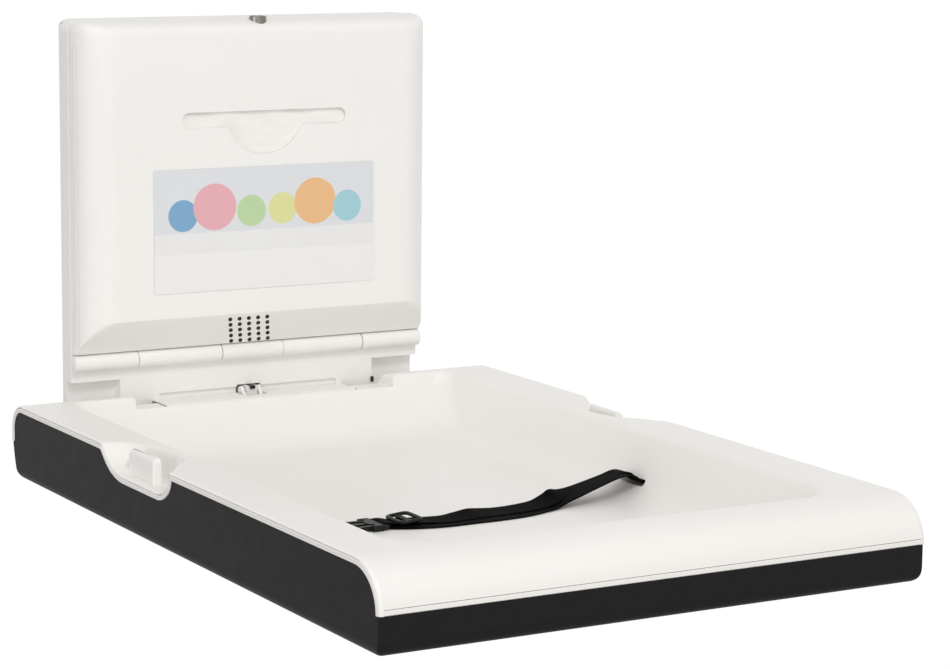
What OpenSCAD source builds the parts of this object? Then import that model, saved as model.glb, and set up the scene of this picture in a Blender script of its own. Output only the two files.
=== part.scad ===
// Fold-down baby changing table for a wall, of the upright kind that folds along its short edge.
// X runs along the wall, -Y points into the room, +Z is up.
// The origin is the middle of the four wall bolts, on the face of the wall.
// Inside the modules heights are measured from the top of the tray's rim, and at_rim() lowers them.

/* [Tray] */
// Width of the tray over its rim
tray_w = 560; // [540:1:580]
// Length of the tray from its rear face to its front face
tray_l = 817; // [790:1:850]
// Depth of the tray from rim to underside
tray_h = 75; // [74:1:84]
// Distance from the wall to the tray's rear face
rear_gap = 43; // [43:0.5:46]
// Depth of the basin below the rim
basin_depth = 61; // [60:0.5:62]
// Half the width of the basin at the rim
basin_half = 229; // [225:1:236]
// Half the width of the part of the rear rim that is cut away for the wall unit
cutaway_half = 154; // [153:0.5:158]
// How far the cut-away ledge lies below the rim
ledge_drop = 14.5; // [14:0.5:16]

/* [Tray hinge] */
// Distance of the tray's hinge axis from the wall
hinge_y = 50; // [49:0.5:52]
// Depth of the tray's hinge axis below the rim
hinge_drop = 29; // [28:0.5:31]
// Radius of the hinge shaft
shaft_r = 6; // [5:0.5:6]
// Length of the damper crank between shaft and crank pin
crank_r = 25; // [24:0.5:26]

/* [Wall unit] */
// Width of the wall frame
frame_w = 416; // [410:1:420]
// Height of the wall frame above the rim
frame_top = 396; // [390:1:410]
// How far the wall frame reaches below the rim
frame_foot = 92; // [86:1:100]
// Depth of the wall frame
frame_d = 31; // [30:0.5:33]
// Depth of the frame in the two notches that clear the rim's corners
notch_d = 18; // [14:0.5:18]
// Depth of the dispenser cover's front face from the wall
cover_d = 74; // [70:1:75]

/* [Wall bolts] */
// Spacing of the wall bolts across
bolt_dx = 320; // [300:1:340]
// Spacing of the wall bolts up and down
bolt_dz = 240; // [200:1:250]
// Radius of the wall bolt holes
bolt_hole_r = 4.5; // [4:0.25:6]

/* [Restraint strap] */
// Width of the webbing
strap_w = 25; // [20:1:30]
// Distance of the strap slots from the wall
strap_y = 500; // [480:1:560]

/* [Hidden] */

// the bolt pattern's middle is this far above the rim
rim_z = -220;

frame_half = frame_w / 2;
skin = 3.5;
plate_t = 3;
tray_half = tray_w / 2;
rear_y = -rear_gap;
front_y = rear_y - tray_l;
axis_y = -hinge_y;
axis_z = -hinge_drop;
rear_roll = 25;
front_roll_y = 45;
front_roll_z = 42;
rear_white = 40;
band = 7;
liner_t = 4;
floor_z = -basin_depth;

// barrel hinge of the dispenser cover
barrel_y = -34;
barrel_z = 33.5;
barrel_r = 9.5;
barrel_clear = 10.3;
barrel_pin_r = 3;
seam_in = 36.5;
seam_out = 135;
cover_half = frame_half - 0.5;
cover_top = frame_top + 1;
cover_side_r = 40;
cover_top_drop = 18;
chamfer_top = 81;
chamfer_foot_y = -40.5;
chamfer_foot_z = 43.8;
chamfer_slope = atan2(-cover_d - chamfer_foot_y, chamfer_top - chamfer_foot_z);
slot_z = 290.5;
slot_half = 97;
slot_r = 8.3;
thumb_r = 46;
thumb_z = 299.5;
label_w = 260;
label_h = 131;
label_z = 173.5;
vent_r = 2.1;
vent_dx = 11;
vent_dz = 8.4;
vent_x = -11;

// the key lock stands square to the cover's sloping top
lock_tilt = 16.5;
lock_y = -56;
lock_z = 394;

// notch in the block on each side
notch_top = 12.4;
notch_front = 152;
notch_back = 160;
strip_top = 24;

// hinge housing
housing_half = 110;
housing_r = 16;
lever_slot = 14;
lug_x = 60;
lug_t = 8;
knuckle_in = 117;
knuckle_out = 149;

// crank, yoke and damper
crank_pin_r = 2.5;
crank_y = axis_y + crank_r * cos(45);
crank_z = axis_z + crank_r * sin(45);
yoke_half_x = 6.5;
yoke_half_z = 5.5;
yoke_slot_half = 3.5;
rod_y = -21;
rod_r = 3.5;

// recess and hook for a bag on each side of the tray
recess_y = -359;
recess_half = 81;
recess_in = 235;
recess_floor = 27;
recess_round = 25;
recess_wall = 3;
hook_y = -352;
hook_l = 50;
hook_t = 9;
hook_x = 266;

// an arc of an ellipse as points, by centre, radii and end angles
function arc(cu, cv, ru, rv, a0, a1, n = 12) =
    [for (i = [0 : n]) let (a = a0 + (a1 - a0) * i / n) [cu + ru * cos(a), cv + rv * sin(a)]];

// mirrors a list of points about the second axis and joins it to itself
function both(points) =
    concat(points, [for (i = [len(points) - 1 : -1 : 0]) [-points[i][0], points[i][1]]]);

module at_rim() {
    translate([0, 0, rim_z]) children();
}

// a shape drawn in y and z, extruded along X about the middle
module along_x(w) {
    rotate([90, 0, 90]) linear_extrude(height = w, center = true) children();
}

// a shape drawn in x and z, extruded from y0 towards the room
module along_y(y0, l) {
    translate([0, y0, 0]) rotate([90, 0, 0]) linear_extrude(height = l) children();
}

module both_sides() {
    children();
    mirror([1, 0, 0]) children();
}

// a box given by its low and high corners
module block(low, high) {
    translate(low) cube(high - low);
}

// a rod along X
module rod_x(y, z, r, x0, x1, n = 64) {
    translate([x0, y, z]) rotate([0, 90, 0]) cylinder(h = x1 - x0, r = r, $fn = n);
}

// ---------------------------------------------------------------- wall unit

module frame_outline() {
    polygon(both(concat([[0, -frame_foot], [frame_half, -frame_foot]],
        arc(frame_half - 14, frame_top - 14, 14, 14, 0, 90), [[0, frame_top]])));
}

module frame_body() {
    difference() {
        along_y(0, frame_d) frame_outline();
        both_sides() translate([0, 0, -frame_foot - 1]) linear_extrude(height = frame_foot + 1 + notch_top)
            polygon([[notch_back, -notch_d], [notch_front + 1.2, -notch_d - 2.6], [notch_front, -frame_d],
                [notch_front, -frame_d - 1], [frame_half + 1, -frame_d - 1], [frame_half + 1, -notch_d]]);
    }
}

module frame_hollow() {
    block([-frame_half + skin, -frame_d - 1, strip_top + skin], [frame_half - skin, -skin, frame_top - skin]);
    block([-frame_half + skin, -frame_d + skin, notch_top + skin],
        [frame_half - skin, -skin, strip_top + skin + 1]);
    block([-notch_front + skin, -frame_d + 6, -frame_foot + skin], [notch_front - skin, -skin, 30]);
    both_sides() block([notch_back, -notch_d + skin, -frame_foot + skin],
        [frame_half - skin, -skin, notch_top - skin]);
}

module barrel_web(x0, x1) {
    block([x0, -frame_d, strip_top - 4], [x1, -frame_d + 6, barrel_z + 2]);
    rod_x(barrel_y, barrel_z, barrel_r, x0, x1);
}

module wall_frame() {
    color("whitesmoke") at_rim() difference() {
        union() {
            difference() {
                frame_body();
                frame_hollow();
                for (s = [-1, 1]) rod_x(barrel_y, barrel_z, barrel_clear,
                    s > 0 ? seam_in : -seam_out, s > 0 ? seam_out : -seam_in);
            }
            barrel_web(-seam_in + 0.3, seam_in - 0.3);
            both_sides() barrel_web(seam_out + 0.3, cover_half);
        }
        rod_x(barrel_y, barrel_z, barrel_pin_r + 0.1, -frame_half - 1, frame_half + 1, 32);
        // shallow pocket over the hinge housing, and the slot for the damper's yoke
        block([-107, -frame_d - 1, -50], [107, -frame_d + 3.5, -6.5]);
        block([-lever_slot, -frame_d - 1, -62], [lever_slot, -frame_d + 7, -4.5]);
        // windows for the hinge bracket's lugs
        both_sides() block([lug_x - 5, -frame_d - 1, -46], [lug_x + 5, -frame_d + 7, -12]);
        wall_bolt_holes();
        frame_screw_places() cylinder(h = 20, r = 2.2, center = true, $fn = 24);
    }
}

module wall_bolt_holes() {
    for (x = [-bolt_dx / 2, bolt_dx / 2], z = [-bolt_dz / 2, bolt_dz / 2])
        translate([x, 0, z - rim_z]) rotate([90, 0, 0])
            cylinder(h = 30, r = bolt_hole_r, center = true, $fn = 48);
}

module frame_screw_places() {
    for (x = [-185, 185], z = [60, 370]) translate([x, 0, z]) rotate([90, 0, 0]) children();
    for (x = [-125, 125]) translate([x, 0, -60]) rotate([90, 0, 0]) children();
}

module back_plate() {
    color("silver") at_rim() difference() {
        union() {
            block([-145, -skin - plate_t, -86], [145, -skin, 60]);
            block([-200, -skin - plate_t, 30], [200, -skin, 388]);
        }
        wall_bolt_holes();
        frame_screw_places() cylinder(h = 20, r = 2.2, center = true, $fn = 24);
    }
}

module frame_screws() {
    color("gray") at_rim() frame_screw_places() {
        translate([0, 0, 0.5]) cylinder(h = skin + plate_t - 0.5, r = 2.1, $fn = 24);
        translate([0, 0, skin + plate_t]) cylinder(h = 2.4, r = 4.2, $fn = 32);
    }
}

bracket_y = -skin - plate_t;
bracket_t = 4;

module bracket_bolt_places() {
    for (x = [-85, 85], z = [-70, 2])
        translate([x, bracket_y - bracket_t, z]) rotate([90, 0, 0]) children();
}

module hinge_bracket() {
    color("silver") at_rim() difference() {
        union() {
            block([-100, bracket_y - bracket_t, -82], [100, bracket_y, 12]);
            for (x = [-lug_x, lug_x]) {
                block([x - lug_t / 2, axis_y, axis_z - 13], [x + lug_t / 2, bracket_y, axis_z + 13]);
                rod_x(axis_y, axis_z, 13, x - lug_t / 2, x + lug_t / 2);
            }
        }
        for (x = [-lug_x, lug_x]) rod_x(axis_y, axis_z, 9, x - lug_t, x + lug_t);
        bracket_bolt_places() cylinder(h = 20, r = 4.1, center = true, $fn = 32);
    }
}

module bracket_bolts() {
    color("gray") at_rim() bracket_bolt_places() {
        cylinder(h = 5.5, r = 7.2, $fn = 6);
        translate([0, 0, -bracket_t]) cylinder(h = bracket_t, r = 4, $fn = 32);
    }
}

module hinge_bushes() {
    color("ivory") at_rim() for (x = [-lug_x, lug_x]) difference() {
        rod_x(axis_y, axis_z, 9, x - lug_t / 2, x + lug_t / 2);
        rod_x(axis_y, axis_z, shaft_r + 0.1, x - lug_t, x + lug_t);
    }
}

module hinge_housing() {
    color("white") at_rim() difference() {
        union() {
            rod_x(axis_y, axis_z, housing_r, -housing_half, housing_half, 96);
            block([-housing_half, axis_y, axis_z - housing_r], [housing_half, -frame_d - 0.2, axis_z + housing_r]);
            block([-106, -frame_d - 1, axis_z - housing_r], [106, -frame_d + 3, axis_z + housing_r]);
        }
        rod_x(axis_y, axis_z, shaft_r + 0.5, -housing_half - 1, housing_half + 1);
        // room for the crank's hub and for its swing
        rod_x(axis_y, axis_z, 12.6, -lever_slot, lever_slot);
        block([-lever_slot, -44, -60], [lever_slot, -frame_d + 4, 0]);
        block([-lever_slot, -50, -46], [lever_slot, -43, 0]);
        for (x = [-lug_x, lug_x]) {
            rod_x(axis_y, axis_z, 13.4, x - 4.4, x + 4.4);
            block([x - 4.4, axis_y, axis_z - 13.4], [x + 4.4, -frame_d + 4, axis_z + 13.4]);
        }
    }
}

module stop_bumpers() {
    color("dimgray") at_rim() for (x = [-90, 90])
        translate([x, -frame_d, -62]) rotate([90, 0, 0]) cylinder(h = 13.4, r = 9, $fn = 48);
}

module cover_pin() {
    color("silver") at_rim() rod_x(barrel_y, barrel_z, barrel_pin_r, -cover_half + 2, cover_half - 2, 32);
}

// open-topped bin for the paper bed liners, with a low front lip
bin_back = -32.5;
bin_front = -67;
bin_half = 127;
bin_foot = 86;
bin_top = 325;

module liner_bin() {
    color("white") at_rim() difference() {
        block([-bin_half, bin_front, bin_foot], [bin_half, bin_back, bin_top]);
        block([-bin_half + 2, bin_front + 2, bin_foot + 2], [bin_half - 2, bin_back - 2, bin_top + 1]);
        block([-bin_half + 12, bin_front - 1, bin_foot + 45], [bin_half - 12, bin_front + 3, bin_top + 1]);
    }
    // feet that hold the bin off the back plate
    color("white") at_rim() for (x = [-100, 100], z = [100, 300])
        block([x - 8, bin_back, z - 8], [x + 8, bracket_y, z + 8]);
}

module paper_liners() {
    color("ivory") at_rim() block([-bin_half + 3, bin_front + 3, bin_foot + 8], [bin_half - 3, bin_back - 3, 312]);
}

module lock_strike() {
    color("silver") at_rim() {
        block([-10, -36, 362], [5, bracket_y, 364.5]);
        block([-10, -36, 362], [5, -34.2, 373.3]);
        block([-10, bracket_y - 2.5, 345], [5, bracket_y, 364.5]);
    }
}

cyl_foot = 46;
cyl_top = 150;

module damper_cylinder() {
    color("dimgray") at_rim() difference() {
        translate([0, rod_y, cyl_foot]) cylinder(h = cyl_top - cyl_foot, r = 9.5, $fn = 64);
        translate([0, rod_y, cyl_foot - 1]) cylinder(h = 10, r = rod_r + 0.3, $fn = 48);
        translate([0, rod_y, cyl_foot + 5]) cylinder(h = cyl_top - cyl_foot - 10, r = 8, $fn = 64);
    }
}

module damper_clamps() {
    color("silver") at_rim() for (z = [60, 128]) difference() {
        union() {
            translate([0, rod_y, z]) cylinder(h = 12, r = 11, $fn = 64);
            block([-19, bracket_y - 2.5, z], [19, bracket_y, z + 12]);
            block([-11, rod_y, z], [11, bracket_y, z + 12]);
        }
        translate([0, rod_y, z - 1]) cylinder(h = 14, r = 9.5, $fn = 64);
    }
}

// ---------------------------------------------------------------- dispenser cover

// side view of the cover, drawn in y and z and inset by o
module cover_side(o) {
    polygon(concat([[chamfer_foot_y + 8.5 + 1.5 * o, chamfer_foot_z - 3 * o - (o > 0 ? 4 : 0)],
            [-frame_d - 1 + 3 * o, chamfer_foot_z], [-frame_d - 1 + 3 * o, cover_top - o]],
        arc(barrel_y, cover_top - cover_top_drop, cover_side_r - o, cover_top_drop - o, 90, 180),
        [[-cover_d + o, chamfer_top + o * 0.45], [chamfer_foot_y + o * 1.35, chamfer_foot_z - o * 0.05]]));
}

// front view of the cover, inset by o
module cover_front(o) {
    polygon(both(concat([[0, chamfer_foot_z - 12], [cover_half - o, chamfer_foot_z - 12]],
        arc(cover_half - 14, cover_top - 14, 14 - o, 14 - o, 0, 90), [[0, cover_top - o]])));
}

// plan of the cover, inset by o
module cover_plan(o) {
    polygon(both(concat([[0, -frame_d - 1 + 3 * o], [cover_half - o, -frame_d - 1 + 3 * o]],
        arc(cover_half - cover_side_r, barrel_y, cover_side_r - o, cover_side_r - o, 0, -90),
        [[0, -cover_d + o]])));
}

module cover_solid(o) {
    intersection() {
        along_x(2 * cover_half + 2) cover_side(o);
        along_y(0, cover_d + 2) cover_front(o);
        translate([0, 0, chamfer_foot_z - 20]) linear_extrude(height = cover_top) cover_plan(o);
    }
}

module liner_slot() {
    along_y(-cover_d + 8, 12) union() {
        translate([-slot_half + slot_r, slot_z - slot_r]) square([2 * (slot_half - slot_r), 2 * slot_r]);
        for (x = [-slot_half + slot_r, slot_half - slot_r]) translate([x, slot_z]) circle(r = slot_r, $fn = 32);
        intersection() {
            translate([0, thumb_z]) circle(r = thumb_r, $fn = 96);
            translate([-60, thumb_z - 60]) square([120, 60]);
        }
    }
}

module cover_vents() {
    mid_y = (chamfer_foot_y - cover_d) / 2;
    mid_z = (chamfer_foot_z + chamfer_top) / 2;
    for (i = [-2 : 2], j = [-2 : 2])
        translate([vent_x + i * vent_dx, mid_y + j * vent_dz * sin(chamfer_slope), mid_z + j * vent_dz * cos(chamfer_slope)])
            rotate([chamfer_slope - 6.5, 0, 0]) cylinder(h = 14, r = vent_r, center = true, $fn = 24);
}

module dispenser_cover() {
    color("whitesmoke") at_rim() difference() {
        union() {
            difference() {
                cover_solid(0);
                cover_solid(skin);
                rod_x(barrel_y, barrel_z, barrel_clear, -cover_half - 1, cover_half + 1, 96);
                block([-cover_half - 1, -frame_d - 40, 0], [cover_half + 1, -frame_d + 10, barrel_z + 4]);
            }
            both_sides() {
                rod_x(barrel_y, barrel_z, barrel_r, seam_in + 0.3, seam_out - 0.3);
                translate([(seam_in + seam_out) / 2, 0, 0]) along_x(seam_out - seam_in - 0.6)
                    polygon([[barrel_y, barrel_z], [barrel_y - 9.3, barrel_z + 2], [-45.5, 49.4], [-40, 49.4],
                        [barrel_y - 1, barrel_z + 9.4]]);
            }
        }
        rod_x(barrel_y, barrel_z, barrel_pin_r + 0.1, -cover_half - 1, cover_half + 1, 32);
        liner_slot();
        cover_vents();
        lock_place() cylinder(h = 30, r = 8.7, center = true, $fn = 64);
    }
}

module info_label() {
    color("lightsteelblue") at_rim()
        block([-label_w / 2, -cover_d - 0.4, label_z - label_h / 2], [label_w / 2, -cover_d, label_z + label_h / 2]);
}

// ---------------------------------------------------------------- key lock

module lock_place() {
    translate([0, lock_y, lock_z]) rotate([lock_tilt, 0, 0]) children();
}

module lock_housing() {
    color("silver") at_rim() lock_place() difference() {
        union() {
            translate([0, 0, 0.6]) cylinder(h = 2.4, r = 11.8, $fn = 64);
            translate([0, 0, -20]) cylinder(h = 21, r = 8.5, $fn = 64);
        }
        translate([0, 0, -21]) cylinder(h = 26, r = 5.7, $fn = 64);
    }
}

module lock_nut() {
    color("gray") at_rim() lock_place() difference() {
        translate([0, 0, -12]) cylinder(h = 4, r = 12.5, $fn = 6);
        translate([0, 0, -13]) cylinder(h = 6, r = 8.6, $fn = 64);
    }
}

module lock_plug() {
    color("dimgray") at_rim() lock_place() difference() {
        translate([0, 0, -22.5]) cylinder(h = 25, r = 5.5, $fn = 64);
        translate([0, 0, 2]) cube([1.6, 7.5, 6], center = true);
    }
}

module lock_cam() {
    color("silver") at_rim() lock_place() {
        translate([-6, -5, -25]) cube([28, 10, 2.5]);
        translate([18, -3, -31]) cube([4, 6, 6]);
    }
}

// ---------------------------------------------------------------- tray

// side view of the tray's top skin, drawn in y and z, inset by o, closed at the two given heights
module tray_side(o, rear_low, front_low) {
    polygon(concat([[rear_y - o, rear_low]],
        arc(rear_y - rear_roll, -rear_roll, rear_roll - o, rear_roll - o, 0, 90),
        arc(front_y + front_roll_y, -front_roll_z, front_roll_y - o, front_roll_z - o, 90, 180, 16),
        [[front_y + o, front_low]]));
}

// the basin seen from the front, grown by o
module basin_across(o) {
    polygon(both([[0, 2], [basin_half + o, 2], [basin_half - 2 + o, -3], [basin_half - 7 + o, -8],
        [basin_half - 14 + o, -25 - o / 2], [basin_half - 23 + o, -41 - o / 2], [basin_half - 33 + o * 0.8, -50 - o * 0.7],
        [basin_half - 46 + o * 0.6, -56 - o * 0.8], [basin_half - 62 + o * 0.4, floor_z + 1 - o],
        [basin_half - 88, floor_z - o], [0, floor_z - o]]));
}

// the basin seen from the side, grown by o
module basin_along(o) {
    r = rear_y - 32;
    f = front_y + 54;
    polygon([[r + o, 2], [r - 2.5 + o, -ledge_drop], [r - 11 + o, -24 - o / 2], [r - 22 + o, -32 - o / 2],
        [r - 33 + o, -42 - o / 2], [r - 47 + o * 0.7, -51 - o * 0.7], [r - 65 + o * 0.4, -57.5 - o],
        [r - 83, floor_z - o], [f + 106, floor_z - o], [f + 86 - o * 0.4, -59 - o], [f + 58 - o * 0.6, -53 - o * 0.8],
        [f + 36 - o, -42 - o / 2], [f + 18 - o, -25 - o / 2], [f + 6 - o, -8], [f - o, 2]]);
}

// plan of the basin, grown by o
module basin_plan(o) {
    r = rear_y - 32 + o;
    f = front_y + 54 - o;
    h = basin_half + o;
    polygon(both(concat([[0, r]], arc(h - 16, r - 16, 16, 16, 90, 0, 6), arc(h - 56, f + 56, 56, 56, 0, -90), [[0, f]])));
}

module basin(o) {
    intersection() {
        along_y(0, tray_l + 100) basin_across(o);
        along_x(tray_w) basin_along(o);
        translate([0, 0, floor_z - 10]) linear_extrude(height = basin_depth + 12) basin_plan(o);
    }
}

// the space of the recess for a bag hook on the right side, grown by o
module recess(o) {
    chord_r = (recess_half * recess_half + pow(tray_half - recess_in, 2)) / (2 * (tray_half - recess_in));
    intersection() {
        translate([recess_in + chord_r, recess_y, -recess_floor - o])
            cylinder(h = recess_floor + o + 2, r = chord_r + o, $fn = 128);
        translate([tray_half, 0, 0]) along_x(120) polygon(concat(
            [[recess_y + recess_half + o, 2]],
            arc(recess_y + recess_half - recess_round, -recess_floor + recess_round, recess_round + o, recess_round + o, 0, -90, 8),
            arc(recess_y - recess_half + recess_round, -recess_floor + recess_round, recess_round + o, recess_round + o, -90, -180, 8),
            [[recess_y - recess_half - o, 2]]));
    }
}

module strap_slots() {
    both_sides() block([basin_half - 40, -strap_y - strap_w / 2 - 2, -42], [basin_half + 8, -strap_y + strap_w / 2 + 2, -35]);
}

module screw_places() {
    for (x = [-250, 250], y = [-130, -500, -820]) translate([x, y, 0]) children();
    for (x = [-125, 125], y = [-580, -690]) translate([x, y, 0]) children();
}

module tray_liner() {
    color("white") at_rim() difference() {
        union() {
            difference() {
                along_x(tray_w) tray_side(0, -rear_white, -front_roll_z);
                along_x(tray_w - 2 * liner_t) tray_side(liner_t, -tray_h, -tray_h);
                both_sides() translate([tray_half, 0, 0]) along_x(2 * liner_t + 0.2) tray_side(band, -tray_h, -tray_h);
                basin(skin);
                both_sides() recess(recess_wall);
            }
            difference() {
                basin(skin);
                basin(0);
                block([-tray_half, front_y - 1, 0], [tray_half, 0, 5]);
            }
            // scooped recesses
            both_sides() intersection() {
                difference() {
                    recess(recess_wall);
                    recess(0);
                }
                block([0, front_y, -tray_h], [tray_half, 0, 0]);
            }
            // ledge under the cut-away, and the walls at its two ends
            block([-cutaway_half, rear_y - 34, -ledge_drop - skin], [cutaway_half, rear_y - 2.5, -ledge_drop]);
            both_sides() intersection() {
                translate([cutaway_half + skin / 2, 0, 0]) along_x(skin) tray_side(0, -rear_white, -front_roll_z);
                block([0, rear_y - 34, -rear_white], [tray_half, 0, 0]);
            }
            // screw bosses
            screw_places() translate([0, 0, -tray_h + 3.2]) cylinder(h = 12, r = 5, $fn = 32);
            for (x = [-250, 250], y = [-130, -500, -820])
                translate([x, y, -tray_h + 3.2]) cylinder(h = tray_h - 3.2 - liner_t + 1, r = 5, $fn = 32);
        }
        // cut-away of the rear rim, and the opening around the hinge housing
        block([-cutaway_half, rear_y - 34.4, -ledge_drop], [cutaway_half, 0, 5]);
        block([-housing_half - 5, rear_y - 25, -rear_white - 5], [housing_half + 5, 0, 0]);
        block([-cutaway_half + 0.5, rear_y - 20, -rear_white - 5], [cutaway_half - 0.5, 0, -ledge_drop - skin]);
        basin(0);
        strap_slots();
        screw_places() translate([0, 0, -tray_h]) cylinder(h = 14, r = 1.9, $fn = 24);
    }
}

shell_half = tray_half - 1.5;
shell_t = 3;

// side view of the shell, inset by o
module shell_side(o) {
    b = -tray_h + o;
    polygon(concat(
        [[rear_y - 1.5 - o, -rear_white - 0.3], [rear_y - 11 - o, -tray_h + 12]],
        arc(rear_y - 22, -tray_h + 11, 11 - o, 11 - o, -5, -90, 6),
        arc(front_y + 13, -tray_h + 12, 12 - o, 12 - o, -90, -180, 6),
        [[front_y + 1 + o, -front_roll_z - 0.3], [front_y + band + 0.3 + o, -front_roll_z - 0.3]],
        arc(front_y + front_roll_y, -front_roll_z, front_roll_y - band - 0.3 - (o > 0 ? -20 : 0),
            front_roll_z - band - 0.3 - (o > 0 ? -20 : 0), 180, 90, 16),
        arc(rear_y - rear_roll, -rear_roll, rear_roll - band - 0.3 - (o > 0 ? -20 : 0),
            rear_roll - band - 0.3 - (o > 0 ? -20 : 0), 90, 0),
        [[rear_y - band - 0.3 - o, -rear_white - 0.3]]));
}

module shell_across(o) {
    polygon(both(concat([[0, 2], [shell_half - o, 2]],
        arc(shell_half - 10, -tray_h + 10, 10 - o, 10 - o, 0, -90, 8), [[0, -tray_h + o]])));
}

module shell_plan(o) {
    r = rear_y - 1 - o;
    f = front_y + 1 + o;
    h = shell_half - o;
    polygon(both(concat([[0, r]], arc(h - 8, r - 8, 8, 8, 90, 0, 6), arc(h - 8, f + 8, 8, 8, 0, -90, 6), [[0, f]])));
}

module tray_shell() {
    color("#2e2d2e") at_rim() difference() {
        intersection() {
            along_x(tray_w) shell_side(0);
            along_y(0, tray_l + 100) shell_across(0);
            translate([0, 0, -tray_h - 1]) linear_extrude(height = tray_h + 1) shell_plan(0);
        }
        // hollow, open at the top
        intersection() {
            block([-tray_half, front_y + 1 + shell_t, -tray_h + shell_t], [tray_half, rear_y - 5, 20]);
            along_y(0, tray_l + 100) shell_across(shell_t);
            along_x(tray_w) polygon([[rear_y - 4.5, 20], [rear_y - 4.5, -rear_white], [rear_y - 14, -tray_h + 12],
                [rear_y - 22, -tray_h + shell_t], [front_y + 13, -tray_h + shell_t], [front_y + 4, -tray_h + 12],
                [front_y + 4, 20]]);
        }
        both_sides() recess(recess_wall + 0.3);
        // opening for the hinge housing
        block([-housing_half - 6, rear_y - 24, axis_z - 18.5], [housing_half + 6, 0, 5]);
        screw_places() translate([0, 0, -tray_h - 1]) cylinder(h = 6, r = 2.6, $fn = 24);
    }
}

module shell_screws() {
    color("gray") at_rim() screw_places() {
        translate([0, 0, -tray_h - 1.8]) cylinder(h = 1.8, r = 4.4, $fn = 32);
        translate([0, 0, -tray_h]) cylinder(h = 12, r = 1.8, $fn = 24);
    }
}

// steel frame under the basin, with the two knuckles that turn with the shaft
bar_z = -tray_h + shell_t + 0.4;
bar_t = 4;
upright_x = 133;

module hinge_frame() {
    color("dimgray") at_rim() difference() {
        union() {
            both_sides() {
                rod_x(axis_y, axis_z, 10.5, knuckle_in, knuckle_out);
                translate([upright_x, 0, 0]) along_x(6) polygon([[axis_y, axis_z + 6], [-70, -33], [-82, -42],
                    [-100, -53], [-130, -66], [-160, bar_z + bar_t], [-160, bar_z], [-75, bar_z], [-58, -50], [axis_y, axis_z - 10]]);
                block([knuckle_in, -430, bar_z], [knuckle_out, -80, bar_z + bar_t]);
            }
            block([-knuckle_out, -200, bar_z], [knuckle_out, -165, bar_z + bar_t]);
            block([-knuckle_out, -430, bar_z], [knuckle_out, -400, bar_z + bar_t]);
        }
        rod_x(axis_y, axis_z, shaft_r + 0.02, -knuckle_out - 1, knuckle_out + 1);
    }
}

module hinge_shaft() {
    color("silver") at_rim() rod_x(axis_y, axis_z, shaft_r, -knuckle_out - 2.5, knuckle_out + 2.5);
}

module shaft_clips() {
    color("gray") at_rim() both_sides() difference() {
        rod_x(axis_y, axis_z, 9, knuckle_out + 0.3, knuckle_out + 1.5, 48);
        rod_x(axis_y, axis_z, shaft_r + 0.02, knuckle_out, knuckle_out + 2);
    }
}

module damper_lever() {
    color("silver") at_rim() difference() {
        union() {
            rod_x(axis_y, axis_z, 11, -12, 12);
            both_sides() {
                rod_x(crank_y, crank_z, 5, 8, 12, 32);
                translate([10, axis_y, axis_z]) rotate([45, 0, 0]) block([-2, 0, -4.5], [2, crank_r, 4.5]);
            }
        }
        rod_x(axis_y, axis_z, shaft_r + 0.02, -13, 13);
        // gap between the cheeks for the yoke
        difference() {
            block([-8, axis_y - 12, axis_z - 40], [8, 0, 5]);
            rod_x(axis_y, axis_z, 11, -9, 9);
        }
        rod_x(crank_y, crank_z, crank_pin_r + 0.02, -13, 13, 32);
    }
}

module crank_pin() {
    color("gray") at_rim() rod_x(crank_y, crank_z, crank_pin_r, -12.6, 12.6, 32);
}

module damper_yoke() {
    color("white") at_rim() difference() {
        block([-yoke_half_x, crank_y - 6.2, crank_z - yoke_half_z], [yoke_half_x, rod_y + 4.5, crank_z + yoke_half_z]);
        along_x(20) union() {
            translate([crank_y, crank_z]) circle(r = yoke_slot_half, $fn = 32);
            translate([axis_y + crank_r, crank_z]) circle(r = yoke_slot_half, $fn = 32);
            translate([crank_y, crank_z - yoke_slot_half]) square([axis_y + crank_r - crank_y, 2 * yoke_slot_half]);
        }
    }
}

module damper_rod() {
    color("silver") at_rim() {
        translate([0, rod_y, crank_z + yoke_half_z]) cylinder(h = 92 - crank_z - yoke_half_z, r = rod_r, $fn = 48);
        translate([0, rod_y, 88]) cylinder(h = 6, r = 7.6, $fn = 64);
    }
}

module bag_hook() {
    h = recess_floor - 0.5;
    translate([hook_x - hook_t / 2, 0, 0]) rotate([90, 0, 90]) linear_extrude(height = hook_t)
        polygon(concat([[hook_y - hook_l / 2, -recess_floor], [hook_y + hook_l / 2, -recess_floor]],
            arc(hook_y + hook_l / 2 - 6, -recess_floor + h - 6, 6, 6, 0, 90, 6),
            arc(hook_y - hook_l / 2 + 6, -recess_floor + h - 6, 6, 6, 90, 180, 6)));
}

module bag_hook_left() {
    color("white") at_rim() mirror([1, 0, 0]) bag_hook();
}

module bag_hook_right() {
    color("white") at_rim() bag_hook();
}

// ---------------------------------------------------------------- restraint strap

strap_t = 1.6;
slide_x = -50;
plug_x = -86;
pivot_x = plug_x - 16;
prong_y = 11;
socket_x = -130;

module webbing(path) {
    along_y(-strap_y + strap_w / 2, strap_w) polygon(concat(path,
        [for (i = [len(path) - 1 : -1 : 0]) path[i] + [0, strap_t]]));
}

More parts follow.
